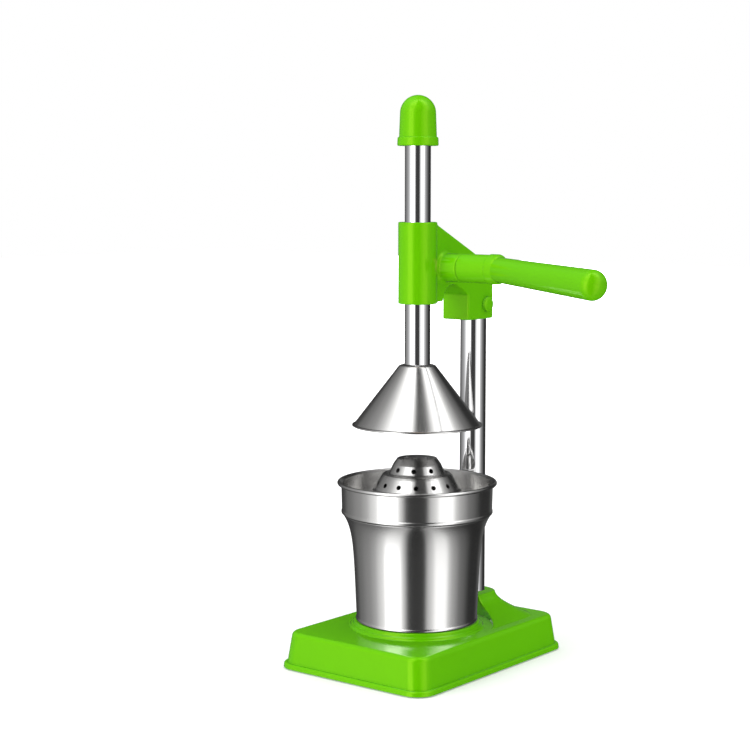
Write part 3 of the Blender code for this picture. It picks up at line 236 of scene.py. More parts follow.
class CupSizes(bpy.types.PropertyGroup):
    """Sizes of the juice cup."""

    bead: size("Rim bead", 1.6 * MM, "Radius of the rolled rim")
    band_radius: size("Band radius", 61.6 * MM, "Foot of the straight band under the rim")
    band_height: size("Band height", 26.7 * MM, "From the rim to the foot of the band")
    wall_radius: size("Wall radius", 53.2 * MM, "Straight wall, carried up to the band's foot")
    neck_run: size("Neck run", 12 * MM, "How quickly the flare under the band dies away")
    bottom_radius: size("Bottom radius", 49.8 * MM, "Foot of the wall")
    dish: size("Dish", 1.9 * MM, "How far the bottom rises inside the foot ring")
    sheet: size("Sheet", 1.1 * MM, "Thickness of the cup's sheet")


class StrainerSizes(bpy.types.PropertyGroup):
    """Sizes of the stepped strainer."""

    sheet: size("Sheet", 1.1 * MM, "Thickness of the strainer")
    rise: size("Rise", 20 * MM, "Top of the crown above the cup's rim")
    crown: size("Crown radius", 16.2 * MM, "Radius of the domed top")
    upper: size("Upper tier", 22.5 * MM, "Radius of the upper tier's foot")
    ledge: size("Ledge", 28 * MM, "Radius of the ledge between the tiers")
    foot: size("Lower tier", 35 * MM, "Radius of the lower tier's foot")
    trough: size("Trough", 42.5 * MM, "Radius where the flat plate starts")
    hole: size("Holes", 2 * MM, "Radius of the drain holes")


class StageSettings(bpy.types.PropertyGroup):
    """Camera, floor and light."""

    lens: bpy.props.FloatProperty(name="Lens", description="Focal length, in millimetres",
                                  default=85.06, min=10.0)
    camera: bpy.props.FloatVectorProperty(name="Camera", description="Where the camera stands",
                                          default=(0.8727, -1.1401, 0.3627), size=3,
                                          subtype="TRANSLATION", unit="LENGTH")
    heading: turn("Heading", 128.81, "The camera's heading, from +X towards +Y")
    pitch: turn("Pitch", 6.367, "How far the camera looks down")
    floor: colour("Floor", (0.9, 0.9, 0.9), "Colour of the floor")
    fill: share("Fill", 0.77, "Plain light from all round")


# ---- Material nodes ---------------------------------------------------------------------
class Nodes:
    """A node tree, with short calls for adding to it."""

    def __init__(self, tree):
        self.tree = tree

    def node(self, kind, **settings):
        made = self.tree.nodes.new(kind)
        for name, value in settings.items():
            setattr(made, name, value)
        return made

    def link(self, output, target):
        self.tree.links.new(output, target)

    def math(self, operation, *values):
        made = self.node("ShaderNodeMath", operation=operation)
        for socket, value in zip(made.inputs, values):
            if isinstance(value, (int, float)):
                socket.default_value = value
            else:
                self.link(value, socket)
        return made.outputs["Value"]


class Recipe(Nodes):
    """A finish: one shader, and what the finishes of this press have in common."""

    def __init__(self, base, roughness, metallic=0.0, specular=0.5, sheen=(1, 1, 1)):
        self.material = bpy.data.materials.new("finish")
        self.material.use_nodes = True
        self.material.diffuse_color = (*base, 1.0)
        super().__init__(self.material.node_tree)
        self.shader = self.tree.nodes["Principled BSDF"]
        self.set("Base Color", (*base, 1.0))
        self.set("Roughness", roughness)
        self.set("Metallic", metallic)
        self.set("Specular IOR Level", specular)
        self.set("Specular Tint", (*sheen, 1.0))
        self.coords = self.node("ShaderNodeTexCoord").outputs["Object"]

    def set(self, socket, value):
        self.shader.inputs[socket].default_value = value

    def stretched(self, scale):
        mapping = self.node("ShaderNodeMapping", vector_type="POINT")
        self.link(self.coords, mapping.inputs["Vector"])
        mapping.inputs["Scale"].default_value = scale
        return mapping.outputs["Vector"]

    def noise(self, scale, detail=2.0, vector=None):
        made = self.node("ShaderNodeTexNoise")
        made.inputs["Scale"].default_value = scale
        made.inputs["Detail"].default_value = detail
        self.link(vector or self.coords, made.inputs["Vector"])
        return made.outputs["Fac"]

    def vary_colour(self, value, first, second):
        made = self.node("ShaderNodeMix", data_type="RGBA")
        made.inputs["A"].default_value = (*first, 1.0)
        made.inputs["B"].default_value = (*second, 1.0)
        self.link(value, made.inputs["Factor"])
        self.link(made.outputs["Result"], self.shader.inputs["Base Color"])

    def vary_roughness(self, value, low, high):
        """Spreads a texture's middle range over low..high."""
        made = self.node("ShaderNodeMapRange")
        ends = {"From Min": 0.3, "From Max": 0.7, "To Min": low, "To Max": high}
        for name, number in ends.items():
            made.inputs[name].default_value = number
        self.link(value, made.inputs["Value"])
        self.link(made.outputs["Result"], self.shader.inputs["Roughness"])

    def bump(self, value, strength, distance):
        made = self.node("ShaderNodeBump")
        made.inputs["Strength"].default_value = strength
        made.inputs["Distance"].default_value = distance
        self.link(value, made.inputs["Height"])
        self.link(made.outputs["Normal"], self.shader.inputs["Normal"])

    def brush_round(self, amount):
        """Stretches highlights across brushing that runs round the Z axis."""
        self.set("Anisotropic", amount)
        self.set("Anisotropic Rotation", 0.25)
        tangent = self.node("ShaderNodeTangent", direction_type="RADIAL", axis="Z")
        self.link(tangent.outputs["Tangent"], self.shader.inputs["Tangent"])

    def turning_lines(self, per_metre):
        """Coordinates whose long way runs round the Z axis, as a spinning lathe leaves lines."""
        parts = self.node("ShaderNodeSeparateXYZ")
        self.link(self.coords, parts.inputs["Vector"])
        x, y, z = (parts.outputs[axis] for axis in "XYZ")
        squares = self.math("ADD", self.math("MULTIPLY", x, x), self.math("MULTIPLY", y, y))
        across = self.math("SUBTRACT", z, self.math("POWER", squares, 0.5))
        joined = self.node("ShaderNodeCombineXYZ")
        for axis, value, scale in zip("XYZ", (x, y, across), (2.5, 2.5, per_metre)):
            self.link(self.math("MULTIPLY", value, scale), joined.inputs[axis])
        return joined.outputs["Vector"]


GREEN_SHEEN = (0.75, 1.0, 0.08)     # tint of the reflections in the enamel and the grip


def enamel(colours):
    """Thick gloss enamel on a casting: a faint orange peel and slightly uneven depth."""
    made = Recipe(colours.enamel, roughness=0.11, specular=0.8, sheen=GREEN_SHEEN)
    made.vary_colour(made.noise(18, detail=3.0), colours.enamel, colours.enamel_deep)
    made.vary_roughness(made.noise(60, detail=2.0), low=0.09, high=0.13)
    made.bump(made.noise(260, detail=1.0), strength=0.1, distance=0.025 * MM)
    return made.material


def moulded_plastic(colours):
    """Smooth moulded plastic of the grip, a little softer in gloss."""
    made = Recipe(colours.grip, roughness=0.13, specular=0.8, sheen=GREEN_SHEEN)
    made.vary_colour(made.noise(25, detail=2.0), colours.grip, colours.enamel_deep)
    made.vary_roughness(made.noise(90, detail=2.0), low=0.11, high=0.16)
    made.bump(made.noise(900, detail=2.0), strength=0.1, distance=0.008 * MM)
    return made.material


def chrome(colours):
    """Bright plating with faint polishing lines along the bar."""
    made = Recipe(colours.chrome, roughness=0.07, metallic=1.0)
    along = made.stretched((500, 500, 9))
    made.vary_roughness(made.noise(1.0, detail=3.0, vector=along), low=0.05, high=0.11)
    made.bump(made.noise(1.0, detail=2.0, vector=along), strength=0.02, distance=0.004 * MM)
    return made.material


def brushed_sheet(colours):
    """Spun stainless sheet, brushed round its axis, with a few broad smudges."""
    made = Recipe(colours.sheet, roughness=0.26, metallic=1.0)
    darker = [part * 0.965 for part in colours.sheet]
    fine = made.noise(1.0, detail=3.0, vector=made.turning_lines(3000))
    coarse = made.noise(1.0, detail=2.0, vector=made.turning_lines(600))
    made.vary_colour(fine, colours.sheet, darker)
    smudges = made.noise(14, detail=2.0)
    both = made.math("MULTIPLY", made.math("ADD", coarse, smudges), 0.5)
    made.vary_roughness(both, low=0.215, high=0.255)
    made.bump(fine, strength=0.1, distance=0.004 * MM)
    made.brush_round(0.8)
    return made.material


def machined_steel(colours):
    """Bare steel with fine marks of the tool."""
    made = Recipe(colours.steel, roughness=0.35, metallic=1.0)
    made.vary_roughness(made.noise(400, detail=3.0), low=0.28, high=0.45)
    marks = made.noise(1.0, detail=3.0, vector=made.stretched((4000, 300, 300)))
    made.bump(marks, strength=0.1, distance=0.05 * MM)
    return made.material


def sintered_bronze(colours):
    """Pressed bronze, darker in its pores."""
    made = Recipe(colours.bronze, roughness=0.42, metallic=1.0)
    darker = [part * 0.7 for part in colours.bronze]
    pores = made.noise(1600, detail=3.0)
    made.vary_colour(pores, colours.bronze, darker)
    made.bump(pores, strength=0.25, distance=0.08 * MM)
    return made.material


def foot_rubber(colours):
    """Dull rubber of the feet."""
    made = Recipe(colours.rubber, roughness=0.75, specular=0.3)
    made.vary_roughness(made.noise(300, detail=3.0), low=0.68, high=0.85)
    made.bump(made.noise(1200, detail=3.0), strength=0.3, distance=0.1 * MM)
    return made.material


FINISHES = {
    "green_paint": enamel, "green_grip": moulded_plastic, "chrome_tube": chrome,
    "brushed_sheet": brushed_sheet, "steel_drive": machined_steel,
    "steel_fasteners": machined_steel, "bronze_bushes": sintered_bronze,
    "rubber_feet": foot_rubber,
}


def finish(context, slot):
    """The material of a slot of the record, made the first time that it is asked for."""
    make = FINISHES[slot]
    name = "finish_" + make.__name__
    if name not in bpy.data.materials:
        made = make(context.scene.press_colours)
        made.name = name
    return bpy.data.materials[name]


# ---- Modelling --------------------------------------------------------------------------
def rounded(points, closed=True, steps=6):
    """An outline of (x, y) or (x, y, corner radius) points, with those corners rounded."""
    made = []
    last = len(points) - 1
    for index, point in enumerate(points):
        here = Vector(point[:2])
        if len(point) < 3 or point[2] <= 0 or (not closed and index in (0, last)):
            made.append(here)
            continue
        to_before = Vector(points[index - 1][:2]) - here
        to_after = Vector(points[(index + 1) % len(points)][:2]) - here
        half = to_before.angle(to_after) / 2
        reach = min(point[2] / math.tan(half), 0.48 * to_before.length, 0.48 * to_after.length)
        radius = reach * math.tan(half)
        middle = (to_before.normalized() + to_after.normalized()).normalized()
        centre = here + middle * (radius / math.sin(half))
        start = here + to_before.normalized() * reach - centre
        end = here + to_after.normalized() * reach - centre
        made += [centre + start.slerp(end, step / steps) * radius for step in range(steps + 1)]
    return [(x, y) for x, y in made]


def arc(centre, radius, start, end, steps):
    """Points of an arc, from start to end degrees."""
    angles = [math.radians(start + (end - start) * i / steps) for i in range(steps + 1)]
    return [(centre[0] + radius * math.cos(a), centre[1] + radius * math.sin(a)) for a in angles]


def round_end(flat, reach, foot, rise, steps):
    """A rounded end, as (radius, height), from its side at the foot round to its flat top."""
    angles = [math.radians(90 * index / steps) for index in range(steps + 1)]
    return [(flat + reach * math.cos(a), foot + rise * math.sin(a)) for a in angles]


def inner_line(points, thickness):
    """The other face of a sheet whose outer face runs through the points, away from the axis."""
    made = []
    for index, (x, y) in enumerate(points):
        here = Vector((x, y))
        before = Vector(points[index - 1]) if index else Vector((-1.0, y))
        after = Vector(points[index + 1]) if index + 1 < len(points) else here * 2 - before
        into = (here - before).normalized()
        out = (after - here).normalized()
        facing = [Vector((d.y, -d.x)) for d in (into, out)]
        normal = (facing[0] + facing[1]).normalized()
        point = here + normal * thickness / max(normal.dot(facing[0]), 0.5)
        made.append((max(point.x, 0.0) if x > 0 else 0.0, point.y))
    return made


def turned(outline, place=UPRIGHT, steps=ROUND_STEPS):
    """Spins a closed (radius, height) outline round Z; what lies on the axis is left out."""
    shape = bmesh.new()
    verts = [shape.verts.new((radius, 0, height)) for radius, height in outline]
    on_axis = [radius < 1e-7 for radius, _ in outline]
    edges = []
    for index, vert in enumerate(verts):
        after = (index + 1) % len(verts)
        if not (on_axis[index] and on_axis[after]):
            edges.append(shape.edges.new((vert, verts[after])))
    bmesh.ops.spin(shape, geom=verts + edges, cent=(0, 0, 0), axis=(0, 0, 1), angle=FULL_TURN,
                   steps=steps, use_merge=True, use_duplicate=False)
    bmesh.ops.remove_doubles(shape, verts=shape.verts, dist=0.001 * MM)
    return placed(shape, place)


def placed(shape, place):
    """Moves a closed shape to its place and makes its faces point outwards."""
    bmesh.ops.transform(shape, matrix=place, verts=shape.verts)
    bmesh.ops.recalc_face_normals(shape, faces=shape.faces)
    return shape


def rod(radius, start, end, place=UPRIGHT, edge=0.0, steps=SMALL_STEPS):
    outline = rounded([(0, start), (radius, start, edge), (radius, end, edge), (0, end)], steps=3)
    return turned(outline, place, steps)


def ring(inner, outer, start, end, place=UPRIGHT, edge=0.0, steps=SMALL_STEPS):
    outline = rounded([(inner, start, edge), (outer, start, edge), (outer, end, edge),
                       (inner, end, edge)], steps=3)
    return turned(outline, place, steps)


def plate(outline, start, end, place=UPRIGHT):
    """A flat outline in XY, thickened from start to end along Z."""
    shape = bmesh.new()
    verts = [shape.verts.new((x, y, start)) for x, y in outline]
    face = shape.faces.new(verts)
    raised = bmesh.ops.extrude_face_region(shape, geom=[face])["geom"]
    top = [item for item in raised if isinstance(item, bmesh.types.BMVert)]
    bmesh.ops.translate(shape, verts=top, vec=(0, 0, end - start))
    return placed(shape, place)


def block(low, high, lean=0.0, corner=0.0, top_round=0.0):
    """A block whose sides lean in towards the top, with rounded corners and top edge."""
    shape = bmesh.new()
    bmesh.ops.create_cube(shape, size=1)
    for vert in shape.verts:
        inset = lean if vert.co.z > 0 else 0.0
        vert.co = [
            high[0] - inset if vert.co.x > 0 else low[0] + inset,
            high[1] - inset if vert.co.y > 0 else low[1] + inset,
            high[2] if vert.co.z > 0 else low[2],
        ]
    if corner:
        upright = [edge for edge in shape.edges
                   if abs(edge.verts[0].co.z - edge.verts[1].co.z) > 0.5 * MM]
        bmesh.ops.bevel(shape, geom=upright, offset=corner, segments=14, profile=0.5,
                        affect="EDGES", material=-1)
    if top_round:
        rim = [edge for edge in shape.edges
               if all(vert.co.z > high[2] - 0.01 * MM for vert in edge.verts)]
        bmesh.ops.bevel(shape, geom=rim, offset=top_round, segments=6, profile=0.5,
                        affect="EDGES", material=-1)
    return shape


def helper(shape):
    """A scene object that holds a shape for as long as a modifier needs it."""
    mesh = bpy.data.meshes.new("helper")
    shape.to_mesh(mesh)
    shape.free()
    made = bpy.data.objects.new("helper", mesh)
    bpy.context.scene.collection.objects.link(made)
    return made


def settled(obj):
    """The shape of an object with its modifiers applied; the object is removed."""
    graph = bpy.context.evaluated_depsgraph_get()
    mesh = bpy.data.meshes.new_from_object(obj.evaluated_get(graph))
    shape = bmesh.new()
    shape.from_mesh(mesh)
    bpy.data.meshes.remove(mesh)
    bpy.data.meshes.remove(obj.data)
    return shape


def combined(shape, operation, *tools):
    """The shape joined with, or cut by, each of the tools in turn."""
    main = helper(shape)
    helpers = [helper(tool) for tool in tools]
    for tool in helpers:
        step = main.modifiers.new(operation, "BOOLEAN")
        step.operation = operation
        step.object = tool
        step.solver = "MANIFOLD"
    result = settled(main)
    for tool in helpers:
        bpy.data.meshes.remove(tool.data)
    if not result.faces:
        raise RuntimeError("a Boolean left nothing")
    return result


def cast(shape, grain, softness):
    """Rounds every edge as a casting has them: an even skin of small faces, then smoothed."""
    solid = helper(shape)
    skin = solid.modifiers.new("skin", "REMESH")
    skin.mode = "VOXEL"
    skin.voxel_size = grain
    skin.use_smooth_shade = True
    result = settled(solid)
    for _ in range(softness):
        bmesh.ops.smooth_vert(result, verts=result.verts, factor=0.5, use_axis_x=True,
                              use_axis_y=True, use_axis_z=True)
    return result


def body_of(node):
    """The body that a CAD node rides on."""
    bodies = frame["record"]["behaviour"]["bodies"]
    return next(body for body, nodes in bodies.items() if node in nodes)


def piece(context, name, shape, slot, node, even=True):
    """Makes a finished piece of a shape, in the place of a CAD node and on that node's body."""
    mesh = bpy.data.meshes.new(name)
    bmesh.ops.dissolve_degenerate(shape, edges=shape.edges, dist=0.0002 * MM)
    shape.to_mesh(mesh)
    shape.free()
    if not mesh.polygons:
        raise RuntimeError(name + " has no faces")
    mesh.shade_smooth()
    if even:
        mesh.set_sharp_from_angle(angle=SHARP)
    mesh.materials.append(finish(context, slot))
    made = bpy.data.objects.new(name, mesh)
    context.scene.collection.objects.link(made)
    if even:
        weighted = made.modifiers.new("even_shading", "WEIGHTED_NORMAL")
        weighted.keep_sharp = True
        weighted.weight = 60
    made.visible_glossy = not slot.startswith(("green", "chrome"))
    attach(made, body_of(node))
    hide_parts(node)


# ---- Base -------------------------------------------------------------------------------
def hump_shape(base, foot_z, top_z):
    """The mound that carries the post: one outline, extruded up and drawn in step by step."""
    levels, steps = 22, 18
    turn_y = POST_Y - 2 * MM
    squareness = 0.8    # 1 would make the back a plain half ellipse

    def outline(level):
        flare = (1 - level / levels) ** 2.2
        half = base.hump_top + (base.hump_foot - base.hump_top) * flare
        back = POST_Y + POST_RADIUS + base.socket_wall + base.hump_back * flare
        points = [(half, 0), (half, turn_y * 0.5), (half, turn_y)]
        for index in range(1, steps):
            angle = math.pi * index / steps
            x = math.copysign(abs(math.cos(angle)) ** squareness, math.cos(angle)) * half
            points.append((x, turn_y + math.sin(angle) ** squareness * (back - turn_y)))
        return points + [(-half, turn_y), (-half, turn_y * 0.5), (-half, 0)]

    shape = bmesh.new()
    verts = [shape.verts.new((x, y, foot_z - base.wall)) for x, y in outline(0)]
    shape.faces.new(verts)
    edges = list(shape.edges)
    for level in range(-1, levels + 1):
        z = foot_z + (top_z - foot_z) * max(level, 0) / levels
        raised = bmesh.ops.extrude_edge_only(shape, edges=edges)["geom"]
        edges = [item for item in raised if isinstance(item, bmesh.types.BMEdge)]
        ring_verts = [item for item in raised if isinstance(item, bmesh.types.BMVert)]
        for vert, (x, y) in zip(ring_verts, outline(max(level, 0))):
            vert.co = (x, y, z)
    bmesh.ops.edgeloop_fill(shape, edges=edges)
    return placed(shape, UPRIGHT)


def foot_places(base):
    """Where the axis of each foot stands, by the foot's CAD node."""
    inset = base.lip_out + base.foot_inset
    xs = {"left": BASE_LOW.x + inset, "right": BASE_HIGH.x - inset}
    ys = {"front": BASE_LOW.y + inset, "rear": BASE_HIGH.y - inset}
    return {f"foot_{depth}_{side}": (x, y) for side, x in xs.items() for depth, y in ys.items()}


class PRESS_OT_base(bpy.types.Operator):
    """Base casting with its lip, cup seat, hump and ribs"""

    bl_idname = "press.base"
    bl_label = "Base"

    def execute(self, context):
        base = context.scene.press_base
        lip = base.lip_out
        low = (BASE_LOW.x + lip, BASE_LOW.y + lip, BASE_LOW.z)
        high = (BASE_HIGH.x - lip, BASE_HIGH.y - lip, -base.seat_step)
        ceiling = high[Z] - base.wall
        skirt = block(low, high, base.draft, base.corner, base.rim_round)
        rim = block(BASE_LOW, (BASE_HIGH.x, BASE_HIGH.y, BASE_LOW.z + base.lip_height),
                    lean=0.3 * MM, corner=base.corner + lip, top_round=1.6 * MM)
        made = combined(skirt, "UNION", rim, self.hump(base), self.seat(base))
        cavity = block((low[X] + base.wall, low[Y] + base.wall, low[Z] - LAP),
                       (high[X] - base.wall, high[Y] - base.wall, ceiling),
                       base.draft, base.corner - base.wall, top_round=1.5 * MM)
        made = combined(made, "DIFFERENCE", cavity)

        socket_low = lowest("post_washer").z + 1.75 * MM
        socket = rod(POST_RADIUS + base.socket_wall + FIT, socket_low, high[Z] - 0.5 * MM,
                     at(0, POST_Y), edge=0.6 * MM)
        places = [at(x, y) for x, y in foot_places(base).values()]
        bosses = [rod(FOOT_STEM + 4 * MM, low[Z] + 2.5 * MM, ceiling + LAP, place, edge=0.4 * MM)
                  for place in places]
        stems = [rod(FOOT_STEM + FIT, low[Z] - LAP, low[Z] + 11.5 * MM, place) for place in places]
        made = combined(made, "UNION", socket, *self.ribs(base, low, high), *bosses)
        made = combined(made, "DIFFERENCE", *stems, self.post_bore(base, socket_low))
        piece(context, "base_body", made, "green_paint", "base_shell")
        return {"FINISHED"}

    @staticmethod
    def hump(base):
        """The mound under the post, hollowed in front to go round the cup seat."""
        mound = hump_shape(base, -base.seat_step - 0.4 * MM, base.hump_rise)
        under = -base.seat_step - base.wall - LAP
        over = base.hump_rise + 9 * MM
        front = turned([(0, under), (base.hump_front, under), (base.hump_front, over), (0, over)],
                       steps=WIDE_STEPS)
        return cast(combined(mound, "DIFFERENCE", front), grain=0.8 * MM, softness=5)

    @staticmethod
    def seat(base):
        """Round cup seat with a centring groove, and a fillet where it meets the plate."""
        plate_z = -base.seat_step
        ceiling = plate_z - base.wall
        foot = base.seat_radius + 2.4 * MM
        fillet = 2.2 * MM
        reach = foot + 3.0 * MM
        return turned(
            [(0, ceiling), (reach, ceiling), (reach, plate_z - 0.02 * MM)]
            + arc((foot + fillet, plate_z + fillet), fillet, 270, 190, 8)
            + rounded([(base.seat_radius + 0.6 * MM, -2.4 * MM), (base.seat_radius, 0, 1.2 * MM),
                       (base.groove + 0.8 * MM, 0), (base.groove, -0.6 * MM, 0.4 * MM),
                       (base.groove - 0.8 * MM, 0), (0, 0)], closed=False), steps=WIDE_STEPS)

    @staticmethod
    def ribs(base, low, high):
        """Three ribs across the underside, and one along it up to the post's socket."""
        half = 1.5 * MM
        ceiling = high[Z] - base.wall
        reach = high[X] - base.wall - 1.2 * MM
        across = [block((-reach, y - half, ceiling - 11 * MM), (reach, y + half, ceiling + LAP))
                  for y in (low[Y] / 2, 0.0, POST_Y / 2)]
        along = block((-half, low[Y] + base.wall, ceiling - 10 * MM),
                      (half, POST_Y - POST_RADIUS - 2 * MM, ceiling + LAP))
        return across + [along]

    @staticmethod
    def post_bore(base, socket_low):
        """Room for the post, with a chamfered mouth, and for the screw under it."""
        radius = POST_RADIUS + FIT
        mouth = radius + 0.8 * MM
        screw, under = 4.3 * MM, socket_low - 5 * MM
        floor, top = lowest("post_tube").z - 0.3 * MM, base.hump_rise
        return turned([(0, under), (screw, under), (screw, floor), (radius, floor),
                       (radius, top - 0.6 * MM), (mouth, top + 0.2 * MM), (mouth, top + 5 * MM),
                       (0, top + 5 * MM)], at(0, POST_Y))


class PRESS_OT_feet(bpy.types.Operator):
    """Four rubber feet, each with a ring groove and a stem"""

    bl_idname = "press.feet"
    bl_label = "Feet"

    def execute(self, context):
        base = context.scene.press_base
        wide = base.foot_radius
        shoulder = BASE_LOW.z + 2.2 * MM
        for node, (x, y) in foot_places(base).items():
            low, high = lowest(node).z, highest(node).z
            outline = rounded([
                (0, low + 0.5 * MM), (3.5 * MM, low + 0.5 * MM, 0.3 * MM), (4 * MM, low, 0.3 * MM),
                (wide - 0.4 * MM, low, 0.8 * MM), (wide, low + 1.2 * MM, 0.4 * MM),
                (wide - 1 * MM, shoulder, 0.5 * MM), (FOOT_STEM, shoulder, 0.3 * MM),
                (FOOT_STEM, high, 0.5 * MM), (0, high)])
            shape = turned(outline, at(x, y), SMALL_STEPS)
            piece(context, node + "_pad", shape, "rubber_feet", node)
        return {"FINISHED"}


# ---- Post and head ----------------------------------------------------------------------
class PRESS_OT_post(bpy.types.Operator):
    """Chromed post tube"""

    bl_idname = "press.post"
    bl_label = "Post"

    def execute(self, context):
        low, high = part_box("post_tube")
        wall = 1.5 * MM
        tube = ring(POST_RADIUS - wall, POST_RADIUS, low.z, high.z, at(0, POST_Y), edge=0.4 * MM,
                    steps=BAR_STEPS)
        hole = rod(SCREW_BORE, 4 * MM, POST_RADIUS + 4 * MM, CLAMP_SCREW_PLACE, steps=HOLE_STEPS)
        piece(context, "post_bar", combined(tube, "DIFFERENCE", hole), "chrome_tube", "post_tube")
        return {"FINISHED"}


def web_top(y):
    """Height of the web's sloping top edge."""
    slope = 0.477
    return SLEEVE_TOP + 2.2 * MM - slope * y


def web_outline(head):
    """Side view of the web and clamp, as (Y, Z), with the arched notch behind the sleeve."""
    front = POST_Y - head.clamp_front
    root, sill = 6 * MM, SLEEVE_BOTTOM + 1.5 * MM
    points = [(root, sill), (root, web_top(root)), (HEAD_BACK, web_top(HEAD_BACK)),
              (HEAD_BACK, CLAMP_BOTTOM), (front, CLAMP_BOTTOM)]
    start = SLEEVE_RADIUS + 1 * MM
    steps = 28
    for index in range(steps, -1, -1):
        along = index / steps
        rise = 3.5 * MM * along + head.notch_rise * math.sin(math.pi * along ** 0.65)
        points.append((start + (front - start) * along, sill + rise))
    return points


class PRESS_OT_head(bpy.types.Operator):
    """Head casting: sleeve, web, clamp block and axle boss in one"""

    bl_idname = "press.head"
    bl_label = "Head"

    def execute(self, context):
        head = context.scene.press_head
        half = head.half_width
        web = plate(web_outline(head), -half, half, SIDE_VIEW)
        web = combined(web, "INTERSECT", self.round_back(half))
        sleeve = rod(SLEEVE_RADIUS, SLEEVE_BOTTOM, SLEEVE_TOP, steps=WIDE_STEPS)
        fillet = head.boss_fillet
        foot = head.boss_radius + fillet
        boss = turned([(0, 4 * MM), (foot, 4 * MM)]
                      + arc((foot, half + fillet), fillet, 270, 180, 8)
                      + [(head.boss_radius, BOSS_END), (0, BOSS_END)], AXLE_PLACE)
        post_room = rod(POST_RADIUS + 0.2 * MM, CLAMP_BOTTOM - 2 * MM,
                        highest("post_tube").z + 0.4 * MM, at(0, POST_Y), steps=BAR_STEPS)
        screw_room = rod(SCREW_BORE, 6 * MM, half + 4 * MM, CLAMP_SCREW_PLACE)
        solid = combined(web, "UNION", sleeve, boss)
        solid = combined(solid, "DIFFERENCE", post_room, screw_room, self.ram_room(),
                         self.gear_room(half))
        solid = cast(solid, grain=0.62 * MM, softness=3)
        piece(context, "head_body", solid, "green_paint", "head_casting", even=False)
        return {"FINISHED"}

    @staticmethod
    def round_back(half):
        """All that the clamp block may fill: square in front and round behind the post."""
        radius = HEAD_BACK - POST_Y
        corner = math.degrees(math.acos((half + 0.7 * MM) / radius))
        wide = 2 * half
        outline = arc((0, POST_Y), radius, corner, 180 - corner, 40)
        outline += [(-wide, POST_Y), (-wide, -wide), (wide, -wide), (wide, POST_Y)]
        return plate(outline, CLAMP_BOTTOM - 5 * MM, SLEEVE_TOP + 5 * MM)

    @staticmethod
    def ram_room():
        """Room down the sleeve for the ram, wider at both ends for the guide bushes."""
        guide = half_size("guide_bush_upper", X) + FIT
        narrow = RAM_RADIUS + 0.9 * MM
        depth, past = 14 * MM, 3 * MM
        low, high = SLEEVE_BOTTOM, SLEEVE_TOP
        return turned([(0, low - past), (guide, low - past), (guide, low + depth),
                       (narrow, low + depth), (narrow, high - depth), (guide, high - depth),
                       (guide, high + past), (0, high + past)])

    @staticmethod
    def gear_room(half):
        """Room across the head for the gear and the axle's right bush."""
        radius = half_size("pinion_gear", Z) + 0.8 * MM
        gear_end = highest("pinion_gear").x + 1.5 * MM
        bush = half_size("axle_bush_right", Z) + FIT
        start, end = -half - 5 * MM, BOSS_END + 2 * MM
        return turned([(0, start), (radius, start), (radius, gear_end), (bush, gear_end),
                       (bush, end), (0, end)], AXLE_PLACE)


class PRESS_OT_head_fittings(bpy.types.Operator):
    """Clamp screw, bearing plug, guide bushes and thrust washer"""

    bl_idname = "press.head_fittings"
    bl_label = "Head fittings"

    def execute(self, context):
        screw = self.clamp_screw(context.scene.press_head.screw_head)
        piece(context, "clamp_button", screw, "green_paint", "clamp_screw")
        piece(context, "plug_cover", self.bearing_plug(), "green_paint", "bearing_plug")
        for node in ("guide_bush_lower", "guide_bush_upper"):
            low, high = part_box(node)
            bush = ring(RAM_RADIUS + 0.2 * MM, high.x, low.z, high.z, edge=0.3 * MM, steps=BAR_STEPS)
            piece(context, node + "_ring", bush, "bronze_bushes", node)
        washer = ring(6.2 * MM, half_size("thrust_washer", Z) - WASHER_INSET,
                      lowest("thrust_washer").x, highest("thrust_washer").x, AXLE_PLACE,
                      edge=0.2 * MM, steps=BAR_STEPS)
        piece(context, "boss_washer", washer, "bronze_bushes", "thrust_washer")
        return {"FINISHED"}

    @staticmethod
    def clamp_screw(radius):
        """Screw with a low domed head."""
        low, high = lowest("clamp_screw").x, highest("clamp_screw").x
        shank, under = 3 * MM, high - 3.2 * MM
        return turned(rounded([
            (0, low), (shank, low, 0.4 * MM), (shank, under), (radius, under, 0.3 * MM),
            (radius, high - 0.9 * MM, 0.7 * MM), (radius - 2.2 * MM, high, 1.5 * MM),
            (0, high)]), CLAMP_SCREW_PLACE)

    @staticmethod
    def bearing_plug():
        """Plug over the axle's left end, with two holes for a pin wrench."""
        low, high = lowest("bearing_plug").x, highest("bearing_plug").x
        radius = half_size("bearing_plug", Z)
        bush = half_size("axle_bush_left", Z) + FIT
        floor = lowest("axle_bush_left").x - 0.3 * MM
        plug = turned(rounded([
            (0, low), (radius, low, 0.9 * MM), (radius, high, 0.3 * MM), (bush, high),
            (bush, floor), (0, floor)]), AXLE_PLACE)
        aside = 0.78 * radius
        holes = [rod(1.6 * MM, low - LAP, low + 2 * MM, at(0, AXLE.y, AXLE.z + side) @ ALONG_X,
                     steps=HOLE_STEPS) for side in (-aside, aside)]
        return combined(plug, "DIFFERENCE", *holes)


# ---- Lever ------------------------------------------------------------------------------
def hub_nose(lever, gap):
    """The hub's rounded outer end, as (radius, place along the axle), grown by a gap."""
    flat = 8.5 * MM
    depth = 4 * MM
    reach = lever.collar_radius - flat + gap
    return round_end(flat, reach, HUB_END - depth, depth + gap, 12) + [(0, HUB_END + gap)]


def grip_place(lever):
    """The grip's own Z axis runs out from the bend, turned to the front and a little down."""
    turned_in = Matrix.Rotation(-lever.bend, 4, "Z") @ Matrix.Rotation(lever.drop, 4, "Y")
    return at(HUB_END - 7 * MM, AXLE.y, AXLE.z) @ turned_in @ ALONG_X


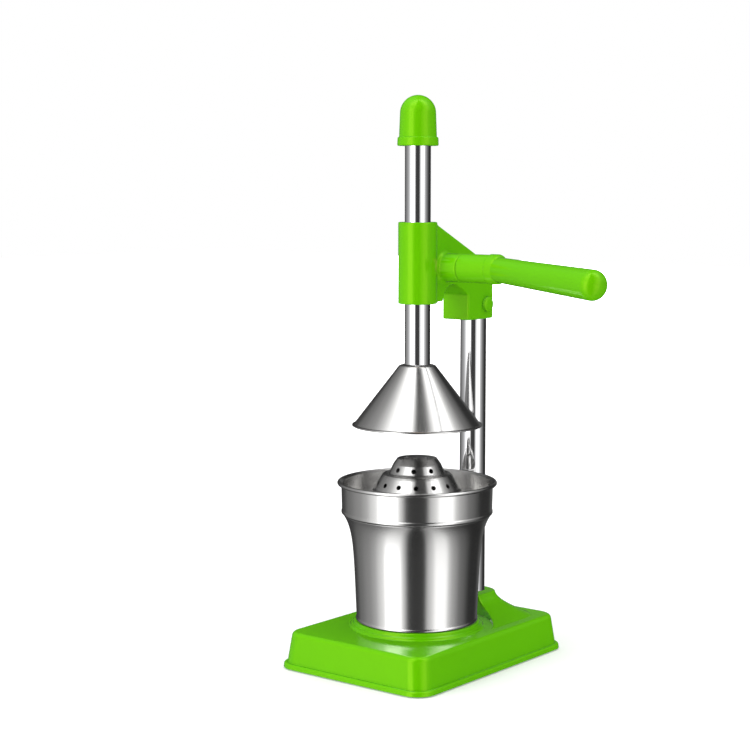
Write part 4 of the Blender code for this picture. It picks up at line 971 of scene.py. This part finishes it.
class PRESS_OT_hub(bpy.types.Operator):
    """Lever hub with its collar and rounded end"""

    bl_idname = "press.hub"
    bl_label = "Lever hub"

    def execute(self, context):
        lever = context.scene.press_lever
        bore, bore_end = 6.15 * MM, HUB_START + 21.3 * MM
        radius = lever.hub_radius
        collar = HUB_END - lever.collar_length
        washer_room = highest("thrust_washer").z - AXLE.z - WASHER_INSET + 0.3 * MM
        start = BOSS_END + SEAM
        outline = rounded([
            (bore, HUB_START), (washer_room, HUB_START), (washer_room, start),
            (radius, start, 0.5 * MM), (radius, collar - 0.8 * MM, 0.8 * MM),
            (radius - 0.35 * MM, collar - 0.3 * MM, 0.2 * MM),
            (lever.collar_radius, collar + 0.3 * MM, 0.7 * MM)] + hub_nose(lever, 0)
            + [(0, bore_end), (bore, bore_end)])
        hub = turned(outline, AXLE_PLACE)
        socket = rod(ROD_BORE, -2.3 * MM, 30 * MM, grip_place(lever))
        grub_place = (at(middle("hub_grub_screw", X), AXLE.y, AXLE.z)
                      @ Matrix.Rotation(math.pi, 4, "X"))
        grub = rod(2.35 * MM, 4 * MM, radius + 3 * MM, grub_place, steps=HOLE_STEPS)
        piece(context, "hub_casting", combined(hub, "DIFFERENCE", socket, grub), "green_paint",
              "lever_hub")
        return {"FINISHED"}


class PRESS_OT_grip(bpy.types.Operator):
    """Green grip: a slim cone with a round end, shaped to the hub at its start"""

    bl_idname = "press.grip"
    bl_label = "Grip"

    def execute(self, context):
        lever = context.scene.press_lever
        start, end = 3 * MM, lever.grip_length
        thin, thick = lever.grip_start, lever.grip_end
        rise = thick * 0.83
        swell = [(thin + (thick - thin) * s, start + (end - start) * s)
                 for s in (0.0, 0.25, 0.5, 0.75)]
        room = end - 5.7 * MM
        grip = turned([(ROD_BORE, start)] + swell + round_end(0, thick, end, rise, 20)
                      + [(0, room), (ROD_BORE, room)], grip_place(lever))
        collar = HUB_END - lever.collar_length - 2 * MM
        gap = 0.3 * MM
        nose = turned([(0, collar), (lever.collar_radius + gap, collar)] + hub_nose(lever, gap),
                      AXLE_PLACE)
        piece(context, "grip_moulding", combined(grip, "DIFFERENCE", nose), "green_grip",
              "lever_grip")
        return {"FINISHED"}


# ---- Ram --------------------------------------------------------------------------------
def rack_comb(ram, low, high):
    """Everything beyond the rack's teeth, as (Y, Z); a gap is centred on the axle's height."""
    pitch = math.pi * ram.module
    pressure = math.tan(math.radians(20))
    play = 0.15 * MM
    tip = RAM_RADIUS - 0.8 * MM
    depth = 1.25 * ram.module
    root = tip - ram.module - depth
    half_gap = (pitch / 2 + play) / 2
    wide, narrow = half_gap + ram.module * pressure, half_gap - depth * pressure
    outside = RAM_RADIUS + 3 * MM
    first, last = math.ceil((low - AXLE.z) / pitch), math.floor((high - AXLE.z) / pitch)
    start, end = (AXLE.z + place * pitch for place in (first - 0.5, last + 0.5))
    points = [(outside, start), (tip, start)]
    for gap in range(first, last + 1):
        here = AXLE.z + gap * pitch
        points += [(tip, here - wide), (root, here - narrow), (root, here + narrow),
                   (tip, here + wide)]
    return points + [(tip, end), (outside, end)]


class PRESS_OT_ram(bpy.types.Operator):
    """Chromed ram with its rack of teeth towards the post"""

    bl_idname = "press.ram"
    bl_label = "Ram"

    def execute(self, context):
        ram = context.scene.press_ram
        low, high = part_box("ram_shaft")
        bar = rod(RAM_RADIUS, low.z, high.z, edge=0.6 * MM, steps=ROUND_STEPS)
        up, down = (abs(limit) for limit in JOINTS["ram_slide"]["range_m"])
        margin = 11 * MM
        side = RAM_RADIUS + 2 * MM
        comb = plate(rack_comb(ram, AXLE.z - up - margin, AXLE.z + down + margin), -side, side,
                     SIDE_VIEW)
        hole = rod(SCREW_BORE, low.z - 2 * MM, low.z + 17 * MM, steps=HOLE_STEPS)
        piece(context, "ram_bar", combined(bar, "DIFFERENCE", comb, hole), "chrome_tube",
              "ram_shaft")
        return {"FINISHED"}


class PRESS_OT_cap(bpy.types.Operator):
    """Domed cap on the ram's upper end"""

    bl_idname = "press.cap"
    bl_label = "Cap"

    def execute(self, context):
        ram = context.scene.press_ram
        bore = RAM_RADIUS + FIT
        flange_top = CAP_BOTTOM + ram.flange_height
        dome = round_end(0, ram.shoulder, CAP_TOP - ram.shoulder, ram.shoulder, 24)
        room = highest("ram_shaft").z + 0.3 * MM
        outline = rounded([
            (bore, CAP_BOTTOM), (ram.flange, CAP_BOTTOM, 1.1 * MM),
            (ram.flange - 0.3 * MM, flange_top, 1.3 * MM),
            (ram.cap_radius, flange_top + 0.3 * MM, 0.8 * MM)] + dome
            + [(0, room), (bore, room)])
        piece(context, "cap_moulding", turned(outline), "green_paint", "ram_cap")
        return {"FINISHED"}


class PRESS_OT_cone(bpy.types.Operator):
    """Spun pressing cone with a turned-out rim"""

    bl_idname = "press.cone"
    bl_label = "Cone"

    def execute(self, context):
        ram = context.scene.press_ram
        rim_radius = highest("press_cone").x
        wall_radius = rim_radius - ram.cone_lip
        outer = rounded([
            (SCREW_BORE, CONE_TOP), (ram.cone_top - 0.4 * MM, CONE_TOP, 3.2 * MM),
            (wall_radius - 0.8 * MM, CONE_RIM + 1.7 * MM, 1.0 * MM),
            (rim_radius - 0.1 * MM, CONE_RIM + 1.15 * MM)], closed=False, steps=8)
        under = CONE_TOP - ram.cone_sheet
        inner = rounded([
            (SCREW_BORE, under), (ram.cone_top - 1.2 * MM, under, 2.2 * MM),
            (wall_radius - 1.9 * MM, CONE_RIM, 0.6 * MM), (rim_radius - 0.6 * MM, CONE_RIM),
            (rim_radius, CONE_RIM + 0.4 * MM, 0.3 * MM)], closed=False, steps=8)
        cone = turned(outer + list(reversed(inner)), steps=WIDE_STEPS)
        piece(context, "cone_sheet", cone, "brushed_sheet", "press_cone")
        return {"FINISHED"}


# ---- Cup and strainer -------------------------------------------------------------------
def cup_wall(cup):
    """Outside of the cup from its rim down to the middle of its bottom, as (radius, height)."""
    band, foot = cup.band_radius, cup.bottom_radius
    band_foot = CUP_RIM - cup.band_height
    ridge = [(band + 0.6 * MM, CUP_RIM - 2 * cup.bead),
             (band + 0.1 * MM, band_foot + 3.2 * MM, 0.8 * MM),
             (band + 0.55 * MM, band_foot + 2.2 * MM, 0.8 * MM),
             (band + 0.55 * MM, band_foot + 0.6 * MM, 0.7 * MM),
             (band - 1.0 * MM, band_foot - 0.6 * MM, 0.8 * MM)]
    wall = []
    top, steps = band_foot - 1.2 * MM, 24
    height = top - (CUP_BOTTOM + 3 * MM)
    flare = band - 1.1 * MM - cup.wall_radius
    for index in range(steps + 1):
        drop = height * (index / steps) ** 1.6
        taper = (cup.wall_radius - foot) * drop / height
        wall.append((cup.wall_radius - taper + flare * math.exp(-drop / cup.neck_run), top - drop))
    bottom = [(foot + 0.1 * MM, CUP_BOTTOM + 2.6 * MM, 0.5 * MM),
              (foot + 0.5 * MM, CUP_BOTTOM + 1.7 * MM, 0.5 * MM),
              (foot + 0.5 * MM, CUP_BOTTOM + 0.5 * MM, 0.6 * MM),
              (foot - 1.6 * MM, CUP_BOTTOM, 1.0 * MM), (foot - 9.6 * MM, CUP_BOTTOM, 2.5 * MM),
              (foot - 14.6 * MM, CUP_BOTTOM + cup.dish, 2.5 * MM), (0, CUP_BOTTOM + cup.dish)]
    return rounded(ridge + wall + bottom, closed=False, steps=4)


class PRESS_OT_cup(bpy.types.Operator):
    """Spun juice cup with a rolled rim"""

    bl_idname = "press.cup"
    bl_label = "Cup"

    def execute(self, context):
        cup = context.scene.press_cup
        wall = cup_wall(cup)
        rim_radius = highest("juice_cup").x
        bead = arc((rim_radius - cup.bead, CUP_RIM - cup.bead), cup.bead, -150, 150, 16)
        inside = inner_line(wall, cup.sheet)
        inside[0] = (inside[0][0], CUP_RIM - cup.bead)
        shape = turned(list(reversed(wall)) + bead + inside, steps=WIDE_STEPS)
        piece(context, "cup_sheet", shape, "brushed_sheet", "juice_cup")
        return {"FINISHED"}


# The strainer's levels, and the shoulder between its crown and its upper tier.
LEDGE_Z = CUP_RIM + 6 * MM
TIER_FOOT_Z = CUP_RIM - 6 * MM
TROUGH_Z = CUP_RIM - 22 * MM
SHOULDER_RUN, SHOULDER_DROP = 3.4 * MM, 6.2 * MM


def strainer_wall(strainer):
    """Upper face of the strainer from its crown outwards, as (radius, height)."""
    top, edge = CUP_RIM + strainer.rise, highest("strainer").x
    crown, upper, ledge = strainer.crown, strainer.upper, strainer.ledge
    foot, trough = strainer.foot, strainer.trough
    return rounded([
        (0, top), (crown * 0.6, top - 0.4 * MM, 6 * MM), (crown, top - 1.4 * MM, 0.6 * MM),
        (crown + SHOULDER_RUN, top - SHOULDER_DROP, 0.6 * MM),
        (upper, LEDGE_Z + 1.4 * MM, 0.7 * MM), (upper + 0.7 * MM, LEDGE_Z + 0.5 * MM, 0.4 * MM),
        (upper + 2.2 * MM, LEDGE_Z + 0.7 * MM, 0.5 * MM), (ledge, LEDGE_Z - 0.4 * MM, 0.8 * MM),
        (ledge + 1.4 * MM, LEDGE_Z - 2.2 * MM, 0.9 * MM),
        (foot, TIER_FOOT_Z, 1.0 * MM), (foot + 1.8 * MM, TIER_FOOT_Z - 1.2 * MM, 1.0 * MM),
        (trough - 2 * MM, TROUGH_Z + 1.2 * MM, 2 * MM), (trough, TROUGH_Z, 3 * MM),
        (edge - 2.8 * MM, TROUGH_Z, 1.5 * MM), (edge - 0.2 * MM, TROUGH_Z + 1.5 * MM)],
        closed=False)


class PRESS_OT_strainer(bpy.types.Operator):
    """Stepped strainer with its rows of drain holes"""

    bl_idname = "press.strainer"
    bl_label = "Strainer"

    def execute(self, context):
        strainer = context.scene.press_strainer
        wall = strainer_wall(strainer)
        limit = highest("strainer").x - 0.1 * MM
        inside = [(min(x, limit), y) for x, y in inner_line(wall, strainer.sheet)]
        dome = turned(wall + list(reversed(inside)), steps=ROUND_STEPS)
        drills = bmesh.new()
        for count, radius, height, lean, offset in self.rows(strainer, context.scene.press_cup):
            for index in range(count):
                place = Matrix.Rotation(FULL_TURN * (index + offset) / count, 4, "Z")
                place = place @ at(radius, 0, height) @ Matrix.Rotation(math.radians(lean), 4, "Y")
                bmesh.ops.create_cone(drills, cap_ends=True, segments=20, radius1=strainer.hole,
                                      radius2=strainer.hole, depth=6 * MM, matrix=place)
        piece(context, "strainer_sheet", combined(dome, "DIFFERENCE", drills), "brushed_sheet",
              "strainer")
        return {"FINISHED"}

    @staticmethod
    def rows(strainer, cup):
        """Rows of holes: how many, radius, height, lean in degrees and share of a step round."""
        top = CUP_RIM + strainer.rise
        tier = (strainer.crown + SHOULDER_RUN + strainer.upper) / 2
        side = (strainer.ledge + 1.4 * MM + strainer.foot) / 2
        flat = (strainer.trough + cup.wall_radius) / 2
        return [(6, strainer.crown * 0.62, top - 0.8 * MM, 0, 0.0),
                (9, tier, (top - SHOULDER_DROP + LEDGE_Z) / 2 + 0.4 * MM, 78, 0.5),
                (14, side, CUP_RIM - 1.6 * MM, 62, 0.9),
                (20, flat, TROUGH_Z - 0.5 * MM, 0, 0.5)]


# ---- Pieces that keep their packed shape ------------------------------------------------
class PRESS_OT_hidden(bpy.types.Operator):
    """Finishes for the shafts, gear and fasteners that keep their packed shape"""

    bl_idname = "press.hidden"
    bl_label = "Shafts and fasteners"

    def execute(self, context):
        slots = {part["node"]: part["material_slot"] for part in frame["record"]["subparts"]}
        for name, node in frame["nodes"].items():
            if node.hide_render:
                continue
            node.data.materials.clear()
            node.data.materials.append(finish(context, slots[name]))
        return {"FINISHED"}


# ---- Stage ------------------------------------------------------------------------------
# Room to be mirrored, as (degrees, brightness): 0 is where the camera stands, and plus goes round
# to its right.
STUDIO_ROUND = [(-180, 0.02), (-150, 0.06), (-128, 0.2), (-100, 0.35), (-84, 0.55), (-72, 1.0),
                (-63, 1.2), (-57, 2.7), (-33, 2.7), (-28, 1.1), (-24, 0.8), (-16, 0.05),
                (14, 0.05), (21, 0.8), (30, 1.05), (35, 1.7), (56, 1.7), (62, 0.8), (72, 0.5),
                (88, 0.2), (116, 0.03), (140, 0.03), (160, 0.12), (180, 0.02)]
# Share of that brightness, from straight down at 0 to straight up at 1.
STUDIO_UP = [(0.0, 0.3), (0.25, 0.75), (0.42, 1.0), (0.8, 1.0), (0.9, 1.5)]
STUDIO_LEAN = 20.0      # degrees that the room has turned by straight overhead
STUDIO_SPREAD = 0.3     # share that a heading has lost there, which makes the softboxes wider
STRIP_REACH = 0.45      # height either way, on a sphere of radius one, where the strips end
STRIP_EDGE = 40.0       # how sharply they end
ROOM_LIMIT = 1.8        # brightest that the room is beyond them
KEY_POWER = 10.0
TOP_POWER = 8.0
LAMP_AIM = 0.15         # height above the cup seat that both lamps point at
FLOOR_LIFT = 0.12       # glow added to the floor under the object, so its shadow stays pale
FLOOR_FADE = 0.5        # and how much more of it per metre away


class Sky(Nodes):
    """The world's node tree."""

    def ramp(self, value, stops):
        made = self.node("ShaderNodeValToRGB")
        made.color_ramp.interpolation = "EASE"
        elements = made.color_ramp.elements
        while len(elements) < len(stops):
            elements.new(0.5)
        for element, (place, level) in zip(elements, stops):
            element.position = place
            element.color = (level, level, level, 1.0)
        self.link(value, made.inputs["Fac"])
        return made.outputs["Color"]

    def background(self, strength):
        made = self.node("ShaderNodeBackground")
        made.inputs["Color"].default_value = (1, 1, 1, 1)
        made.inputs["Strength"].default_value = strength
        return made

    def mixed(self, amount, first, second):
        made = self.node("ShaderNodeMixShader")
        for socket, output in zip(made.inputs, (amount, first, second)):
            self.link(output, socket)
        return made.outputs["Shader"]

    def room(self, home):
        """Brightness of the softboxes and dark gaps that bright metal mirrors."""
        direction = self.node("ShaderNodeSeparateXYZ")
        self.link(self.node("ShaderNodeTexCoord").outputs["Generated"], direction.inputs["Vector"])
        x, y, z = (direction.outputs[axis] for axis in "XYZ")
        cos_h, sin_h = math.cos(home), math.sin(home)
        ahead = self.math("ADD", self.math("MULTIPLY", x, cos_h), self.math("MULTIPLY", y, sin_h))
        aside = self.math("SUBTRACT", self.math("MULTIPLY", y, cos_h),
                          self.math("MULTIPLY", x, sin_h))
        raised = self.math("MAXIMUM", z, 0.0)
        # Heading round the object, from 0 to 1, with 0.5 towards where the camera stands.
        heading = self.math("DIVIDE", self.math("ARCTAN2", aside, ahead), FULL_TURN)
        lean = self.math("MULTIPLY", raised, STUDIO_LEAN / 360)
        spread = self.math("SUBTRACT", 1.0, self.math("MULTIPLY", raised, STUDIO_SPREAD))
        heading = self.math("MULTIPLY_ADD", self.math("SUBTRACT", heading, lean), spread, 0.5)
        round_about = self.ramp(heading, [(degrees / 360 + 0.5, level)
                                          for degrees, level in STUDIO_ROUND])
        upward = self.ramp(self.math("MULTIPLY_ADD", z, 0.5, 0.5), STUDIO_UP)

        # The brightest softboxes are upright strips: past their ends the limit holds.
        inside = self.math("SUBTRACT", STRIP_REACH, self.math("ABSOLUTE", z))
        inside = self.math("MAXIMUM", inside, 0.0)
        limit = self.math("MULTIPLY_ADD", inside, STRIP_EDGE, ROOM_LIMIT)
        return self.math("MULTIPLY", self.math("MINIMUM", round_about, limit), upward)


def studio_world(stage):
    """White to the camera, plain light to the surfaces, and the room for metal to mirror."""
    world = bpy.data.worlds.new("studio")
    bpy.context.scene.world = world
    world.use_nodes = True
    world.node_tree.nodes.clear()
    sky = Sky(world.node_tree)
    plain, mirrored, white = (sky.background(strength) for strength in (stage.fill, 1.0, 1.0))
    home = math.atan2(stage.camera[Y], stage.camera[X])
    sky.link(sky.room(home), mirrored.inputs["Color"])
    path = sky.node("ShaderNodeLightPath").outputs
    lit = sky.mixed(path["Is Glossy Ray"], plain.outputs[0], mirrored.outputs[0])
    seen = sky.math("MAXIMUM", path["Is Camera Ray"], path["Is Transmission Ray"])
    surface = sky.mixed(seen, lit, white.outputs[0])
    sky.link(surface, sky.node("ShaderNodeOutputWorld").inputs["Surface"])


class PRESS_OT_stage(bpy.types.Operator):
    """White floor, soft studio light and the camera"""

    bl_idname = "press.stage"
    bl_label = "Stage"

    def execute(self, context):
        scene = context.scene
        stage = scene.press_stage
        scene.view_settings.view_transform = "Standard"
        studio_world(stage)
        self.floor(context, stage)
        self.lamp(context, "key_light", (-0.55, -1.5, 1.15), width=0.8, power=KEY_POWER)
        self.lamp(context, "top_light", (0.1, 0.1, 1.7), width=0.9, power=TOP_POWER)
        data = bpy.data.cameras.new("camera")
        data.lens = stage.lens
        data.sensor_width = 36
        data.clip_start = 0.05
        camera = bpy.data.objects.new("camera", data)
        scene.collection.objects.link(camera)
        camera.location = stage.camera
        level = math.cos(stage.pitch)
        ahead = Vector((math.cos(stage.heading) * level, math.sin(stage.heading) * level,
                        -math.sin(stage.pitch)))
        camera.rotation_euler = ahead.to_track_quat("-Z", "Y").to_euler()
        scene.camera = camera
        return {"FINISHED"}

    @staticmethod
    def floor(context, stage):
        shape = bmesh.new()
        bmesh.ops.create_grid(shape, x_segments=1, y_segments=1, size=6.0)
        bmesh.ops.translate(shape, verts=shape.verts, vec=(0, 0, TABLE_Z))
        mesh = bpy.data.meshes.new("floor")
        shape.to_mesh(mesh)
        shape.free()
        made = bpy.data.objects.new("floor", mesh)
        context.scene.collection.objects.link(made)
        material = bpy.data.materials.new("floor_white")
        material.use_nodes = True
        nodes = Nodes(material.node_tree)
        shader = nodes.tree.nodes["Principled BSDF"]
        shader.inputs["Base Color"].default_value = (*stage.floor, 1.0)
        shader.inputs["Roughness"].default_value = 0.6
        shader.inputs["Specular IOR Level"].default_value = 0.1
        shader.inputs["Emission Color"].default_value = (1, 1, 1, 1)
        away = nodes.node("ShaderNodeVectorMath", operation="LENGTH")
        nodes.link(nodes.node("ShaderNodeTexCoord").outputs["Object"], away.inputs[0])
        glow = nodes.math("MULTIPLY_ADD", away.outputs["Value"], FLOOR_FADE, FLOOR_LIFT)
        seen = nodes.node("ShaderNodeLightPath").outputs["Is Camera Ray"]
        nodes.link(nodes.math("MULTIPLY", seen, glow), shader.inputs["Emission Strength"])
        mesh.materials.append(material)
        made.visible_glossy = False

    @staticmethod
    def lamp(context, name, place, width, power):
        data = bpy.data.lights.new(name, "AREA")
        data.shape = "SQUARE"
        data.size = width
        data.energy = power
        made = bpy.data.objects.new(name, data)
        context.scene.collection.objects.link(made)
        made.location = place
        towards = Vector((0, 0, LAMP_AIM)) - Vector(place)
        made.rotation_euler = towards.to_track_quat("-Z", "Y").to_euler()
        made.visible_glossy = False


# ---- Panel and registration -------------------------------------------------------------
GROUPS = {
    "press_colours": PressColours, "press_base": BaseSizes, "press_head": HeadSizes,
    "press_lever": LeverSizes, "press_ram": RamSizes, "press_cup": CupSizes,
    "press_strainer": StrainerSizes, "press_stage": StageSettings,
}
OPERATORS = (
    PRESS_OT_base, PRESS_OT_feet, PRESS_OT_post, PRESS_OT_head, PRESS_OT_head_fittings,
    PRESS_OT_hub, PRESS_OT_grip, PRESS_OT_ram, PRESS_OT_cap, PRESS_OT_cone, PRESS_OT_cup,
    PRESS_OT_strainer, PRESS_OT_hidden, PRESS_OT_stage,
)


class PRESS_PT_sidebar(bpy.types.Panel):
    """Lists the press's pieces and the sizes and colours that can be changed"""

    bl_idname = "PRESS_PT_sidebar"
    bl_label = "Citrus Press"
    bl_space_type = "VIEW_3D"
    bl_region_type = "UI"
    bl_category = "Citrus Press"

    def draw(self, context):
        for operator in OPERATORS:
            self.layout.operator(operator.bl_idname)
        for attribute, group in GROUPS.items():
            box = self.layout.box()
            box.label(text=group.__doc__)
            for name in group.__annotations__:
                box.prop(getattr(context.scene, attribute), name)


def register():
    for group in GROUPS.values():
        bpy.utils.register_class(group)
    for attribute, group in GROUPS.items():
        setattr(bpy.types.Scene, attribute, bpy.props.PointerProperty(type=group))
    for operator in OPERATORS:
        bpy.utils.register_class(operator)
    bpy.utils.register_class(PRESS_PT_sidebar)


def unregister():
    bpy.utils.unregister_class(PRESS_PT_sidebar)
    for operator in reversed(OPERATORS):
        bpy.utils.unregister_class(operator)
    for attribute, group in reversed(GROUPS.items()):
        delattr(bpy.types.Scene, attribute)
        bpy.utils.unregister_class(group)


def main():
    register()
    for operator in OPERATORS:
        group, name = operator.bl_idname.split(".")
        getattr(getattr(bpy.ops, group), name)()
    bpy.context.view_layer.update()


if __name__ == "__main__":
    main()
